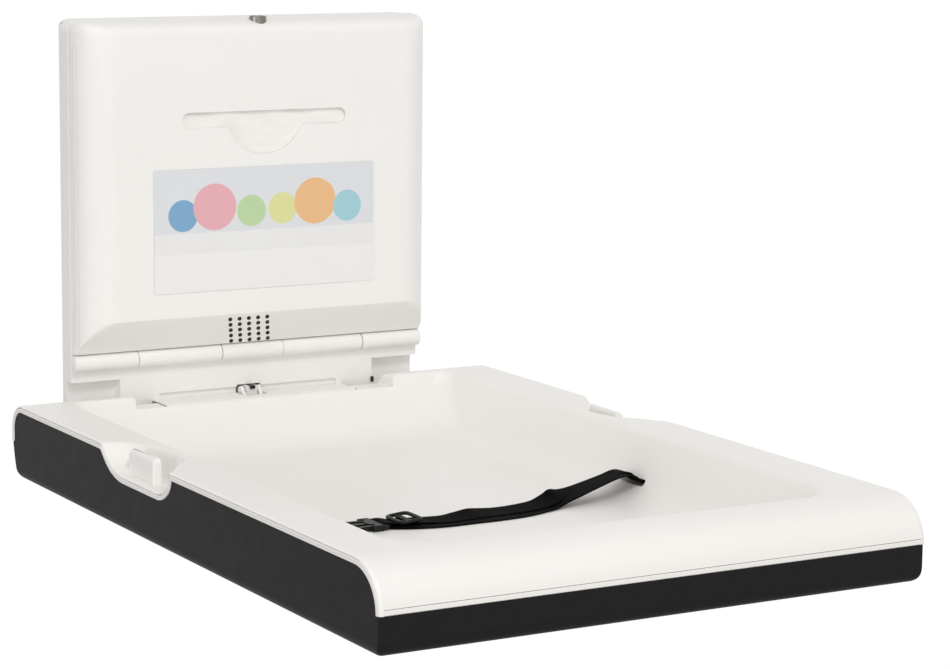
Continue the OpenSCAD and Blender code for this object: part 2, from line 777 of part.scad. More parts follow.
module strap_right() {
    color("#222222") at_rim() {
        webbing([[222, -39], [206, -39], [196, -37.5], [186, -38], [172, -41], [150, -46.5],
            [127, -52.5], [105, -57], [85, -60.8], [plug_x + 1.8, -60.8]]);
        // turned round the slide's middle bar and the plug's bar
        strap_loop(plug_x - 4.8, -60.8, plug_x + 1.8, -54.2);
        strap_loop(slide_x - 15.4, -60.8, slide_x - 8.1, -54.6);
        along_y(-strap_y + strap_w / 2, strap_w) polygon([[plug_x + 1, -55.8],
            [plug_x + 1, -54.2], [slide_x - 21, -54.6], [slide_x - 15, -54.6], [slide_x - 15, -56.2], [slide_x - 22, -56.2]]);
    }
}

// a closed turn of webbing round a bar, by its outer corners
module strap_loop(x0, z0, x1, z1) {
    along_y(-strap_y + strap_w / 2, strap_w) difference() {
        translate([x0, z0]) square([x1 - x0, z1 - z0]);
        translate([x0 + strap_t, z0 + strap_t]) square([x1 - x0 - 2 * strap_t, z1 - z0 - 2 * strap_t]);
    }
}

module strap_left() {
    color("#222222") at_rim() {
        webbing([[-222, -39], [-206, -39], [-196, -47.5], [-186, -51], [-172, -52.4]]);
        strap_loop(socket_x - 43.4, -58.4, socket_x - 35.2, -50.8);
    }
}

module strap_anchors() {
    color("silver") at_rim() both_sides() difference() {
        block([223, -strap_y - 20, -52], [225.5, -strap_y + 20, -24]);
        block([222, -strap_y - strap_w / 2 - 1, -41], [227, -strap_y + strap_w / 2 + 1, -36]);
    }
}

module strap_slide() {
    color("#1c1c1c") at_rim() difference() {
        block([slide_x - 22, -strap_y - 17, -58.9], [slide_x, -strap_y + 17, -56.5]);
        for (x = [slide_x - 19, slide_x - 10]) block([x, -strap_y - 13.5, -60], [x + 5.5, -strap_y + 13.5, -54]);
    }
}

module buckle_plug() {
    color("#1c1c1c") at_rim() difference() {
        union() {
            block([pivot_x - 1, -strap_y - 17, -60.6], [plug_x - 6, -strap_y + 17, -54.6]);
            for (y = [-17, 13.5]) block([plug_x - 7, -strap_y + y, -59.4], [plug_x, -strap_y + y + 3.5, -55.6]);
            block([plug_x - 3, -strap_y - 17, -59], [plug_x, -strap_y + 17, -56]);
            block([pivot_x - 26, -strap_y - 3, -59.8], [pivot_x - 1, -strap_y + 3, -55.4]);
        }
        for (s = [-1, 1]) translate([pivot_x, -strap_y + s * prong_y, -62]) cylinder(h = 10, r = 3.4, $fn = 32);
    }
}

// one springy side of the plug, which turns in a little when it is squeezed
module prong(s) {
    color("#1c1c1c") at_rim() translate([pivot_x, -strap_y + s * prong_y, -59.8]) {
        cylinder(h = 4.4, r = 3.1, $fn = 32);
        linear_extrude(height = 4.4) polygon([[0, s * 2.6], [-1, -s * 2.4], [-24, s * 0.8], [-24, s * 4.8], [-17, s * 5.6], [-16, s * 3.4]]);
    }
}

module buckle_prong_rear() {
    prong(1);
}

module buckle_prong_front() {
    prong(-1);
}

module buckle_socket() {
    color("#1c1c1c") at_rim() difference() {
        union() {
            block([socket_x - 31, -strap_y - 18, -59.4], [socket_x, -strap_y + 18, -49.4]);
            for (y = [-18, 13.5]) block([socket_x - 41.5, -strap_y + y, -57], [socket_x - 30, -strap_y + y + 4.5, -52]);
            block([socket_x - 41.5, -strap_y - 18, -56.6], [socket_x - 38.5, -strap_y + 18, -52.6]);
        }
        block([socket_x - 26, -strap_y - 15.5, -57.4], [socket_x + 1, -strap_y + 15.5, -51.4]);
        for (s = [-1, 1]) translate([socket_x - 16, -strap_y + s * 19, -54.4]) cube([12, 9, 6], center = true);
    }
}

wall_frame();
back_plate();
hinge_bracket();
hinge_bushes();
hinge_housing();
stop_bumpers();
cover_pin();
liner_bin();
paper_liners();
lock_strike();
damper_cylinder();
damper_clamps();
frame_screws();
bracket_bolts();
dispenser_cover();
info_label();
lock_housing();
lock_nut();
lock_plug();
lock_cam();
tray_liner();
tray_shell();
hinge_frame();
hinge_shaft();
shaft_clips();
damper_lever();
crank_pin();
damper_yoke();
damper_rod();
bag_hook_left();
bag_hook_right();
strap_anchors();
strap_right();
strap_left();
strap_slide();
buckle_plug();
buckle_prong_rear();
buckle_prong_front();
buckle_socket();
shell_screws();
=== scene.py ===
"""Looks of the wall-mounted changing table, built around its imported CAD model.
Lengths in the helpers are millimetres; heights are measured from the tray's rim, which lies
220 mm below the frame's origin."""
import math
import bmesh
import bpy
from mathutils import Matrix, Vector
from mathutils.bvhtree import BVHTree


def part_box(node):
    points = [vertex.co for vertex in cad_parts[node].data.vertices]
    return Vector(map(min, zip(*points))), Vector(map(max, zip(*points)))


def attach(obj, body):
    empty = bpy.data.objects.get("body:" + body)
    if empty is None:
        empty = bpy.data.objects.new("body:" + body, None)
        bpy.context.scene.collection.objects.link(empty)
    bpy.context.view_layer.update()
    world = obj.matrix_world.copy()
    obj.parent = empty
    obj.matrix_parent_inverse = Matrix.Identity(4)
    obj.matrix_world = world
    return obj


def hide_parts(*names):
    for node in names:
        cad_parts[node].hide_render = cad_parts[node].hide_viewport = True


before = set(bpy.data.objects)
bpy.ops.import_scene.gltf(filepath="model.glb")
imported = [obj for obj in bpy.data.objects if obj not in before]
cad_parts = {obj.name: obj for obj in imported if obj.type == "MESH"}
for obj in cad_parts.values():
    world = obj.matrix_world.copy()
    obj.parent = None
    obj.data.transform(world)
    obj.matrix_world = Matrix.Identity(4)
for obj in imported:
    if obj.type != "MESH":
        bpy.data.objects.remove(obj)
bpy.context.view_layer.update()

RIM = -220.0


def P(x, y, z):
    """A point in metres from millimetres, z from the rim."""
    return Vector((x, y, z + RIM)) / 1000


# ------------------------------------------------------------------ camera and light

def camera():
    yaw, pitch, roll = (math.radians(a) for a in (29.99, 9.2, 0.57))
    fwd = Vector((math.sin(yaw) * math.cos(pitch), math.cos(yaw) * math.cos(pitch), -math.sin(pitch)))
    right = Vector((math.cos(yaw), -math.sin(yaw), 0))
    up = right.cross(fwd)
    r2 = math.cos(roll) * right + math.sin(roll) * up
    u2 = -math.sin(roll) * right + math.cos(roll) * up
    cam = bpy.data.cameras.new("camera")
    cam.sensor_width = 36
    cam.lens = 112.00547368
    cam.clip_end = 50
    obj = bpy.data.objects.new("camera", cam)
    bpy.context.scene.collection.objects.link(obj)
    m = Matrix((r2, u2, -fwd)).transposed().to_4x4()
    m.translation = P(-1379.8, -2916.6, 569.0)
    obj.matrix_world = m
    bpy.context.scene.camera = obj
    bpy.context.scene.view_settings.view_transform = "Standard"


def lights():
    world = bpy.data.worlds.new("studio")
    bpy.context.scene.world = world
    world.use_nodes = True
    t = world.node_tree
    tc = t.nodes.new("ShaderNodeTexCoord")
    sep = t.nodes.new("ShaderNodeSeparateXYZ")
    t.links.new(tc.outputs["Generated"], sep.inputs[0])
    up = t.nodes.new("ShaderNodeMapRange")
    up.inputs["From Min"].default_value = -1
    t.links.new(sep.outputs["Z"], up.inputs["Value"])
    sky = ramp(t, up.outputs["Result"], [(0.0, (0.54, 0.537, 0.53)), (0.42, (0.74, 0.736, 0.726)),
                                         (0.56, (0.84, 0.836, 0.828)), (1.0, (0.82, 0.816, 0.806))])
    back = t.nodes.new("ShaderNodeMapRange")
    for key, value in (("From Min", -1), ("From Max", 1), ("To Min", 1.14), ("To Max", 0.55)):
        back.inputs[key].default_value = value
    t.links.new(sep.outputs["Y"], back.inputs["Value"])
    mul = t.nodes.new("ShaderNodeVectorMath")
    mul.operation = "SCALE"
    t.links.new(sky, mul.inputs[0])
    t.links.new(back.outputs["Result"], mul.inputs["Scale"])
    t.links.new(mul.outputs["Vector"], t.nodes["Background"].inputs["Color"])
    t.nodes["Background"].inputs["Strength"].default_value = 0.88

    def area(name, at, aim, size, power, tint=(1, 1, 1)):
        data = bpy.data.lights.new(name, "AREA")
        data.shape = "RECTANGLE"
        data.size, data.size_y = size
        data.energy = power
        data.color = tint
        o = bpy.data.objects.new(name, data)
        bpy.context.scene.collection.objects.link(o)
        o.location = at
        o.rotation_euler = (Vector(aim) - Vector(at)).to_track_quat("-Z", "Y").to_euler()

    area("front_soft", (-0.5, -2.9, 2.6), (0, -0.3, -0.1), (1.3, 1.0), 36, (1, 0.993, 0.982))
    area("front_low", (-1.3, -3.2, -0.3), (0, -0.3, -0.1), (1.6, 1.2), 4, (1, 0.993, 0.985))
    area("left_low", (-3.0, -1.0, 0.1), (0, -0.3, -0.1), (1.4, 1.2), 12, (1, 0.988, 0.972))


def backdrop():
    """A white studio wall far behind and below, lit evenly."""
    me = bpy.data.meshes.new("backdrop")
    c, ax, up = Vector((2.6, 4.4, -0.8)), Vector((0.866, -0.5, 0)), Vector((0, 0, 1))
    me.from_pydata([c + ax * i * 7 + up * j * 5 for i, j in ((-1, -1), (1, -1), (1, 1), (-1, 1))], [],
                   [[0, 1, 2, 3]])
    o = bpy.data.objects.new("backdrop", me)
    bpy.context.scene.collection.objects.link(o)
    m, _, b = nodes_of("backdrop_white")
    b.inputs["Base Color"].default_value = (0, 0, 0, 1)
    b.inputs["Specular IOR Level"].default_value = 0
    b.inputs["Emission Color"].default_value = (1, 1, 1, 1)
    b.inputs["Emission Strength"].default_value = 1.02
    me.materials.append(m)


# ------------------------------------------------------------------ materials

def nodes_of(name):
    m = bpy.data.materials.new(name)
    m.use_nodes = True
    t = m.node_tree
    return m, t, t.nodes["Principled BSDF"]


def ramp(t, src, stops):
    r = t.nodes.new("ShaderNodeValToRGB")
    t.links.new(src, r.inputs["Fac"])
    e = r.color_ramp.elements
    while len(e) > len(stops):
        e.remove(e[-1])
    while len(e) < len(stops):
        e.new(1)
    for k, (pos, col) in enumerate(stops):
        e[k].position = pos
        e[k].color = (*col, 1)
    return r.outputs["Color"]


def noise(t, scale, detail=4, rough=0.55, stretch=None):
    tc = t.nodes.new("ShaderNodeTexCoord")
    n = t.nodes.new("ShaderNodeTexNoise")
    n.inputs["Scale"].default_value = scale
    n.inputs["Detail"].default_value = detail
    n.inputs["Roughness"].default_value = rough
    src = tc.outputs["Object"]
    if stretch:
        mp = t.nodes.new("ShaderNodeMapping")
        mp.inputs["Scale"].default_value = stretch
        t.links.new(src, mp.inputs["Vector"])
        src = mp.outputs["Vector"]
    t.links.new(src, n.inputs["Vector"])
    return n.outputs["Fac"]


def bump(t, bsdf, height, strength, distance):
    b = t.nodes.new("ShaderNodeBump")
    b.inputs["Strength"].default_value = strength
    b.inputs["Distance"].default_value = distance
    t.links.new(height, b.inputs["Height"])
    t.links.new(b.outputs["Normal"], bsdf.inputs["Normal"])


def plastic(name, dark, light, rough, grain=900, depth=0.00006, spread=0.03, shine=0.5, mottling=5.0):
    """Moulded plastic: faint cloudy colour, fine moulded grain, slightly uneven gloss."""
    m, t, b = nodes_of(name)
    t.links.new(ramp(t, noise(t, mottling), [(0.3, dark), (0.7, light)]), b.inputs["Base Color"])
    t.links.new(ramp(t, noise(t, 40), [(0.3, (rough - spread,) * 3), (0.7, (rough + spread,) * 3)]),
                b.inputs["Roughness"])
    b.inputs["Specular IOR Level"].default_value = shine
    bump(t, b, noise(t, grain, 2), 0.25, depth)
    return m


def metal(name, colour, rough, stretch=(1, 1, 60)):
    m, t, b = nodes_of(name)
    b.inputs["Metallic"].default_value = 1
    b.inputs["Base Color"].default_value = (*colour, 1)
    grain = noise(t, 300, 3, 0.5, stretch)
    t.links.new(ramp(t, grain, [(0.3, (rough * 0.8,) * 3), (0.7, (rough * 1.3,) * 3)]), b.inputs["Roughness"])
    bump(t, b, grain, 0.1, 0.00003)
    return m


def webbing_material():
    """Woven polyester: a fine twill across the band, with a soft sheen."""
    m, t, b = nodes_of("webbing")
    uv = t.nodes.new("ShaderNodeUVMap")
    uv.uv_map = "weave"
    waves = []
    for angle in (45, -45):
        mp = t.nodes.new("ShaderNodeMapping")
        mp.inputs["Rotation"].default_value = (0, 0, math.radians(angle))
        t.links.new(uv.outputs["UV"], mp.inputs["Vector"])
        w = t.nodes.new("ShaderNodeTexWave")
        w.inputs["Scale"].default_value = 0.22
        w.inputs["Distortion"].default_value = 0.6
        t.links.new(mp.outputs["Vector"], w.inputs["Vector"])
        waves.append(w.outputs["Fac"])
    mx = t.nodes.new("ShaderNodeMath")
    mx.operation = "MULTIPLY"
    t.links.new(waves[0], mx.inputs[0])
    t.links.new(waves[1], mx.inputs[1])
    t.links.new(ramp(t, mx.outputs[0], [(0.0, (0.0006, 0.0006, 0.0006)), (0.9, (0.0032, 0.003, 0.003))]),
                b.inputs["Base Color"])
    b.inputs["Roughness"].default_value = 0.75
    b.inputs["Specular IOR Level"].default_value = 0.06
    bump(t, b, mx.outputs[0], 0.5, 0.0003)
    return m


MAT = {}


def materials():
    white = ((0.902, 0.882, 0.856), (0.916, 0.898, 0.874))
    MAT["white"] = plastic("white_plastic", *white, 0.45, grain=700, depth=0.00005)
    MAT["frame_white"] = plastic("frame_white", (0.895, 0.882, 0.858), (0.915, 0.902, 0.88), 0.48, grain=700)
    MAT["satin"] = plastic("white_satin", (0.9, 0.888, 0.865), (0.92, 0.908, 0.885), 0.42)
    MAT["black"] = plastic("black_plastic", (0.0105, 0.0095, 0.0100), (0.0125, 0.0115, 0.0120), 0.5,
                           grain=1500, depth=0.0001, spread=0.02, shine=0.16, mottling=60)
    # grey that stands in for the shade in grooves and narrow gaps: painted shade
    MAT["gap"] = plastic("painted_gap_shade", (0.2, 0.19, 0.18), (0.24, 0.23, 0.22), 0.7, shine=0.2)
    # grey for the cover's fine side lines: painted shade of their grooves
    MAT["seam_line_shade"] = plastic("painted_line_shade", (0.62, 0.605, 0.58), (0.66, 0.645, 0.62), 0.6, shine=0.3)
    # steel darkened to stand in for the dark reflections in the lock's chrome ring: painted reflection
    MAT["dark"] = metal("steel_darkened_for_reflection", (0.3, 0.285, 0.26), 0.28)
    # black buckle plastic; also the dark plugs of painted shade in the vent holes and in the damper yoke's
    # hole
    MAT["buckle"] = plastic("buckle_plastic_and_hole_shade", (0.003, 0.003, 0.0032), (0.006, 0.006, 0.0062), 0.4,
                            grain=1200, shine=0.3)
    MAT["acetal"] = plastic("acetal", (0.74, 0.72, 0.66), (0.8, 0.78, 0.73), 0.3)
    # rubber for the stop bumpers; also the dark block of painted shade in the opening by the hinge knuckle
    MAT["rubber"] = plastic("rubber", (0.02, 0.02, 0.02), (0.035, 0.035, 0.035), 0.8, grain=400)
    MAT["coat"] = plastic("powder_coat", (0.02, 0.02, 0.021), (0.03, 0.03, 0.031), 0.45, grain=500,
                          depth=0.0001)
    MAT["steel"] = metal("zinc_steel", (0.6, 0.6, 0.61), 0.35)
    MAT["bright"] = metal("bright_steel", (0.72, 0.71, 0.69), 0.18, (40, 1, 1))
    MAT["webbing"] = webbing_material()
    m, t, b = nodes_of("paper")
    t.links.new(ramp(t, noise(t, 30, 6, 0.7, (1, 1, 3)), [(0.25, (0.86, 0.84, 0.815)),
                                                          (0.75, (0.95, 0.935, 0.915))]),
                b.inputs["Base Color"])
    b.inputs["Roughness"].default_value = 0.9
    bump(t, b, noise(t, 60, 5, 0.6, (1, 1, 2)), 0.6, 0.0012)
    MAT["paper"] = m


# ------------------------------------------------------------------ mesh helpers

def mesh_object(name, verts, faces, mat, body=None, replaces=(), smooth=35):
    me = bpy.data.meshes.new(name)
    me.from_pydata([P(*v) for v in verts], [], faces)
    bm = bmesh.new()
    bm.from_mesh(me)
    bmesh.ops.remove_doubles(bm, verts=bm.verts, dist=1e-6)
    bmesh.ops.dissolve_degenerate(bm, edges=bm.edges, dist=1e-7)
    bmesh.ops.recalc_face_normals(bm, faces=bm.faces)
    bm.to_mesh(me)
    bm.free()
    obj = bpy.data.objects.new(name, me)
    bpy.context.scene.collection.objects.link(obj)
    if mat:
        me.materials.append(mat)
    if smooth:
        shade(obj, smooth)
    if body:
        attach(obj, body)
    if replaces:
        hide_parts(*replaces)
    return obj


def shade(obj, angle=35):
    me = obj.data
    me.shade_smooth()
    me.set_sharp_from_angle(angle=math.radians(angle))


def apply_modifiers(obj):
    dg = bpy.context.evaluated_depsgraph_get()
    me = bpy.data.meshes.new_from_object(obj.evaluated_get(dg))
    old = obj.data
    obj.modifiers.clear()
    obj.data = me
    bpy.data.meshes.remove(old)


def cut(obj, tools, operation="DIFFERENCE"):
    """Cuts closed tool meshes out of obj and removes them."""
    for tool in tools:
        mod = obj.modifiers.new("cut", "BOOLEAN")
        mod.operation = operation
        mod.solver = "EXACT"
        mod.object = tool
        apply_modifiers(obj)
    for tool in tools:
        bpy.data.meshes.remove(tool.data)


def clean(obj, dist=1e-6):
    """Joins doubled points and flattens what is left over from the cuts."""
    bm = bmesh.new()
    bm.from_mesh(obj.data)
    bmesh.ops.remove_doubles(bm, verts=bm.verts, dist=dist)
    bmesh.ops.dissolve_limit(bm, angle_limit=math.radians(0.05), verts=bm.verts, edges=bm.edges)
    bm.to_mesh(obj.data)
    bm.free()


def finish_edges(obj, width, angle=40, segments=3, smooth=35):
    """Rounds the sharp edges and evens the shading."""
    if width:
        b = obj.modifiers.new("bevel", "BEVEL")
        b.width = width / 1000
        b.segments = segments
        b.limit_method = "ANGLE"
        b.angle_limit = math.radians(angle)
        b.miter_outer = "MITER_ARC"
        b.use_clamp_overlap = True
        apply_modifiers(obj)
    shade(obj, smooth)
    w = obj.modifiers.new("normals", "WEIGHTED_NORMAL")
    w.keep_sharp = True
    w.weight = 60


def round_path(points, radii, n=8):
    """A 2-D path through points with each inner corner rounded to its radius."""
    pts = [Vector(p) for p in points]
    out = [tuple(pts[0])]
    for i in range(1, len(pts) - 1):
        p = pts[i]
        a, b = (pts[i - 1] - p).normalized(), (pts[i + 1] - p).normalized()
        r = radii[i - 1]
        half = a.angle(b) / 2
        if r <= 0 or half > math.radians(89):
            out.append(tuple(p))
            continue
        t = r / math.tan(half)
        c = p + (a + b).normalized() * (r / math.sin(half))
        s, e = p + a * t - c, p + b * t - c
        turn = s.angle_signed(e)
        for k in range(n + 1):
            q = s.copy()
            q.rotate(Matrix.Rotation(-turn * k / n, 2))
            out.append(tuple(c + q))
    out.append(tuple(pts[-1]))
    return out


def arc(cu, cv, ru, rv, a0, a1, n=24):
    """Points on an ellipse between two angles in degrees."""
    return [(cu + ru * math.cos(math.radians(a0 + (a1 - a0) * i / n)),
             cv + rv * math.sin(math.radians(a0 + (a1 - a0) * i / n))) for i in range(n + 1)]


def prism_x(name, yz, x0, x1, mat=None):
    n = len(yz)
    v = [(x0, y, z) for y, z in yz] + [(x1, y, z) for y, z in yz]
    f = [list(range(n)), list(range(2 * n - 1, n - 1, -1))]
    f += [[i, (i + 1) % n, n + (i + 1) % n, n + i] for i in range(n)]
    return mesh_object(name, v, f, mat, smooth=0)


def prism_y(name, xz, y0, y1, mat=None):
    n = len(xz)
    v = [(x, y0, z) for x, z in xz] + [(x, y1, z) for x, z in xz]
    f = [list(range(n)), list(range(2 * n - 1, n - 1, -1))]
    f += [[i, (i + 1) % n, n + (i + 1) % n, n + i] for i in range(n)]
    return mesh_object(name, v, f, mat, smooth=0)


def prism_z(name, xy, z0, z1, mat=None):
    n = len(xy)
    v = [(x, y, z0) for x, y in xy] + [(x, y, z1) for x, y in xy]
    f = [list(range(n)), list(range(2 * n - 1, n - 1, -1))]
    f += [[i, (i + 1) % n, n + (i + 1) % n, n + i] for i in range(n)]
    return mesh_object(name, v, f, mat, smooth=0)


def box(name, low, high):
    return prism_z(name, [(low[0], low[1]), (high[0], low[1]), (high[0], high[1]), (low[0], high[1])],
                   low[2], high[2])


def block(name, low, high, mat, body):
    """A box of one material that rides on a body."""
    o = box(name, low, high)
    o.data.materials.append(MAT[mat])
    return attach(o, body)


def grid(rows, closed=False):
    """Vertices and faces of a grid of rows of points."""
    n = len(rows[0])
    v = [p for r in rows for p in r]
    f = []
    for i in range(len(rows) - 1):
        for j in range(n if closed else n - 1):
            k = (j + 1) % n
            f.append([i * n + j, i * n + k, (i + 1) * n + k, (i + 1) * n + j])
    return v, f


def interp(x, xs, ys):
    """Straight-line interpolation, xs rising."""
    if x <= xs[0]:
        return ys[0]
    for a, b, c, d in zip(xs, xs[1:], ys, ys[1:]):
        if x <= b:
            return c + (d - c) * (x - a) / (b - a) if b > a else d
    return ys[-1]


def mirror_x(obj, name, body=None, replaces=()):
    """A mirrored copy for the other side of the tray."""
    me = obj.data.copy()
    for v in me.vertices:
        v.co.x = -v.co.x
    me.flip_normals()
    o = bpy.data.objects.new(name, me)
    bpy.context.scene.collection.objects.link(o)
    for m in obj.modifiers:
        if m.type == "WEIGHTED_NORMAL":
            w = o.modifiers.new("normals", "WEIGHTED_NORMAL")
            w.keep_sharp, w.weight = True, 60
    if body:
        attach(o, body)
    if replaces:
        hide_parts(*replaces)
    return o


# ------------------------------------------------------------------ tray

TOP_HALF = 275.5      # where the top skin ends and the band's rounding starts
REAR, FRONT = -40.3, -860.0
ROLL = 27.5           # radius of the rear roll
BOTTOM = -78.6
FLOOR = -60.8
LEDGE = -14.5
CUT = 154.0


def basin_tool():
    """The basin as a solid to cut out: each level's outline has its own width, ends and corner radii."""
    side = round_path([(240, 0.9), (231.6, 0.12), (226.2, 0.0), (193.9, FLOOR), (100, FLOOR)][1:],
                      [9, 45], 14)
    side = [(236, 1.5)] + side
    rear = [(-68, 1.5)] + round_path([(-71.5, 0.1), (-75.6, 0), (-79, -15), (-124, FLOOR), (-260, FLOOR)],
                                     [4.5, 22, 55], 14)
    front = [(-814, 1.5)] + round_path([(-810.5, 0.1), (-803, 0), (-786, -27), (-742, FLOOR), (-600, FLOOR)],
                                       [8, 45, 60], 14)

    def at(path, z):
        zs = [-q[1] for q in path]
        return interp(-z, zs, [q[0] for q in path])

    levels = [1.5, 0.1, 0.0, -0.1, -0.25, -0.5, -0.9, -1.5, -2.3, -3.3, -4.6, -6, -8, -11, -14.5, -19, -24,
              -29, -34, -38, -42, -45.5, -48.5, -51, -53.2, -55.2, -56.9, -58.2, -59.2,
              -60, -60.5, -60.75, FLOOR]
    rows = []
    for z in levels:
        w, r, f = at(side, z), at(rear, z), at(front, z)
        k = max(0.0, min(1.0, -z / 60))
        rr, rf = 13 + 30 * k, 50 - 6 * k
        loop = []
        loop += [(w - rr + rr * math.cos(a), r - rr + rr * math.sin(a), z)
                 for a in [math.radians(90 * i / 16) for i in range(17)]]
        loop += [(-w + rr + rr * math.cos(a), r - rr + rr * math.sin(a), z)
                 for a in [math.radians(90 + 90 * i / 16) for i in range(17)]]
        loop += [(-w + rf + rf * math.cos(a), f + rf + rf * math.sin(a), z)
                 for a in [math.radians(180 + 90 * i / 20) for i in range(21)]]
        loop += [(w - rf + rf * math.cos(a), f + rf + rf * math.sin(a), z)
                 for a in [math.radians(270 + 90 * i / 20) for i in range(21)]]
        rows.append(loop)
    v, f = grid(rows, True)
    n = len(rows[0])
    f.append(list(range(n)))
    f.append(list(range((len(rows) - 1) * n, len(rows) * n)))
    return mesh_object("basin_tool", v, f, None, smooth=0)


def scoop_surface():
    """Rows of points over the right-hand scoop: from its top edge down its wall to the floor's outer lip."""
    rear = ([0, 0.04, 0.084, 0.15, 0.21, 0.344, 0.505, 0.735, 0.88, 1],
            [0, 0.035, 0.10, 0.22, 0.34, 0.57, 0.77, 0.925, 0.98, 1])
    side = ([0, 0.06, 0.14, 0.25, 0.38, 0.5, 0.62, 0.76, 0.9, 1],
            [0, 0.02, 0.08, 0.20, 0.38, 0.56, 0.73, 0.89, 0.98, 1])
    front = ([0, 0.02, 0.057, 0.115, 0.18, 0.286, 0.43, 0.615, 0.8, 1],
             [0, 0.10, 0.28, 0.49, 0.61, 0.735, 0.84, 0.93, 0.98, 1])

    def floor_at(x):
        s = max(0.0, min(1.0, (x - 258) / 17))
        return -27 + 2.6 * (3 * s * s - 2 * s ** 3)

    def soft(k):
        k = max(0.0, min(1.0, k))
        return 3 * k * k - 2 * k ** 3

    cols = []
    n = 72
    for i in range(n + 1):
        a = math.pi * i / n
        wr, wf = 1 - soft((i / n - 0.1) / 0.35), soft((i / n - 0.82) / 0.15)
        x = 283.5 - 49 * math.sin(a)
        half = 86.5 if a < math.pi / 2 else 59 + 20 * soft((x - 256) / 24)
        top = Vector((x, -366 + half * math.cos(a)))
        low = Vector((283.5 - 36 * math.sin(a), -374 + (42.5 if a < math.pi / 2 else 43) * math.cos(a)))
        depth = -floor_at(low.x)
        out = (top - low).normalized()
        col = [(top.x + out.x * 2, top.y + out.y * 2, 3.0), (top.x + out.x * 0.5, top.y + out.y * 0.5, 0.06)]
        for j in range(31):
            s = (j / 30) ** 1.25
            q = top.lerp(low, s)
            f = wr * interp(s, *rear) + wf * interp(s, *front) + (1 - wr - wf) * interp(s, *side)
            col.append((q.x, q.y, -depth * f))
        for j in range(1, 9):
            x = low.x + (292 - low.x) * j / 8
            col.append((x, low.y, floor_at(x)))
        cols.append(col)
    return cols


def scoop_tool():
    cols = [c + [(292, c[-1][1], 3.0)] for c in scoop_surface()]
    v, f = grid(cols, True)
    n = len(cols[0])
    f.append(list(range(n)))
    f.append(list(range((len(cols) - 1) * n, len(cols) * n)))
    return mesh_object("scoop_tool", v, f, None, smooth=0)


def side_path(tool):
    """The tray's outline seen from the side, with the dip of the scoop, from rear bottom to front bottom."""
    tree = BVHTree.FromObject(tool, bpy.context.evaluated_depsgraph_get())
    path = [(REAR, -40.0), (REAR, -32)] + arc(REAR - ROLL, -ROLL, ROLL, ROLL, 0, 90, 20)
    path += [(-100, 0.0), (-180, 0), (-250, 0), (-268, 0)]
    dip = []
    y = -272.0
    while y > -450:
        hit = tree.ray_cast(P(TOP_HALF, y, -70), Vector((0, 0, 1)))[0]
        if hit is not None:
            z = hit.z * 1000 - RIM
            if z < -0.04:
                dip.append((y, z))
        y -= 1.0
    path += dip
    path += [(-460, 0.0), (-560, 0), (-680, 0), (-780, 0)]
    path += arc(FRONT + 45, -42, 45, 42, 90, 180, 26)
    return path


def offset_path(path, depth):
    """The path moved inwards, with folded stretches pulled together."""
    n = len(path)
    out = []
    for i in range(n):
        a = Vector(path[max(0, i - 1)])
        b = Vector(path[min(n - 1, i + 1)])
        d = (b - a).normalized()
        out.append(Vector(path[i]) + Vector((-d.y, d.x)) * depth)
    i = 0
    while i < n - 3:
        for j in range(min(n - 2, i + 60), i + 1, -1):
            p, q, r, s = out[i], out[i + 1], out[j], out[j + 1]
            d1, d2 = q - p, s - r
            det = d1.x * d2.y - d1.y * d2.x
            if abs(det) < 1e-9:
                continue
            t = ((r.x - p.x) * d2.y - (r.y - p.y) * d2.x) / det
            u = ((r.x - p.x) * d1.y - (r.y - p.y) * d1.x) / det
            if 0 <= t <= 1 and 0 <= u <= 1:
                x = p + d1 * t
                for k in range(i + 1, j + 1):
                    out[k] = x.copy()
                i = j
                break
        i += 1
    return [tuple(p) for p in out]


# section of the side band, with its two grooves: (depth under the top, x)
BAND = [(0.0, TOP_HALF), (0.06, 276.2), (0.25, 277.1), (0.62, 278.1), (1.15, 279.0), (1.6, 279.4),
        (1.78, 278.2), (2.0, 277.8), (2.3, 277.8), (2.5, 278.3), (2.62, 279.5), (2.9, 280.0), (4.5, 280.0),
        (4.62, 279.4), (4.85, 279.4), (4.98, 279.9), (6.3, 279.95), (6.8, 279.75), (7.05, 279.3),
        (7.05, 274.6), (3.0, 274.6)]


def side_band(path):
    """The white band down the tray's right side, BAND's section swept along the path."""
    rows = []
    for depth, x in BAND:
        rows.append([(x, y, z) for y, z in offset_path(path, depth)])
    v, f = grid(rows + [rows[0]])
    m = len(path)
    f.append([i * m for i in range(len(BAND))])
    f.append([i * m + m - 1 for i in range(len(BAND))])
    return mesh_object("side_band_right", v, f, MAT["white"], "tray", smooth=38)


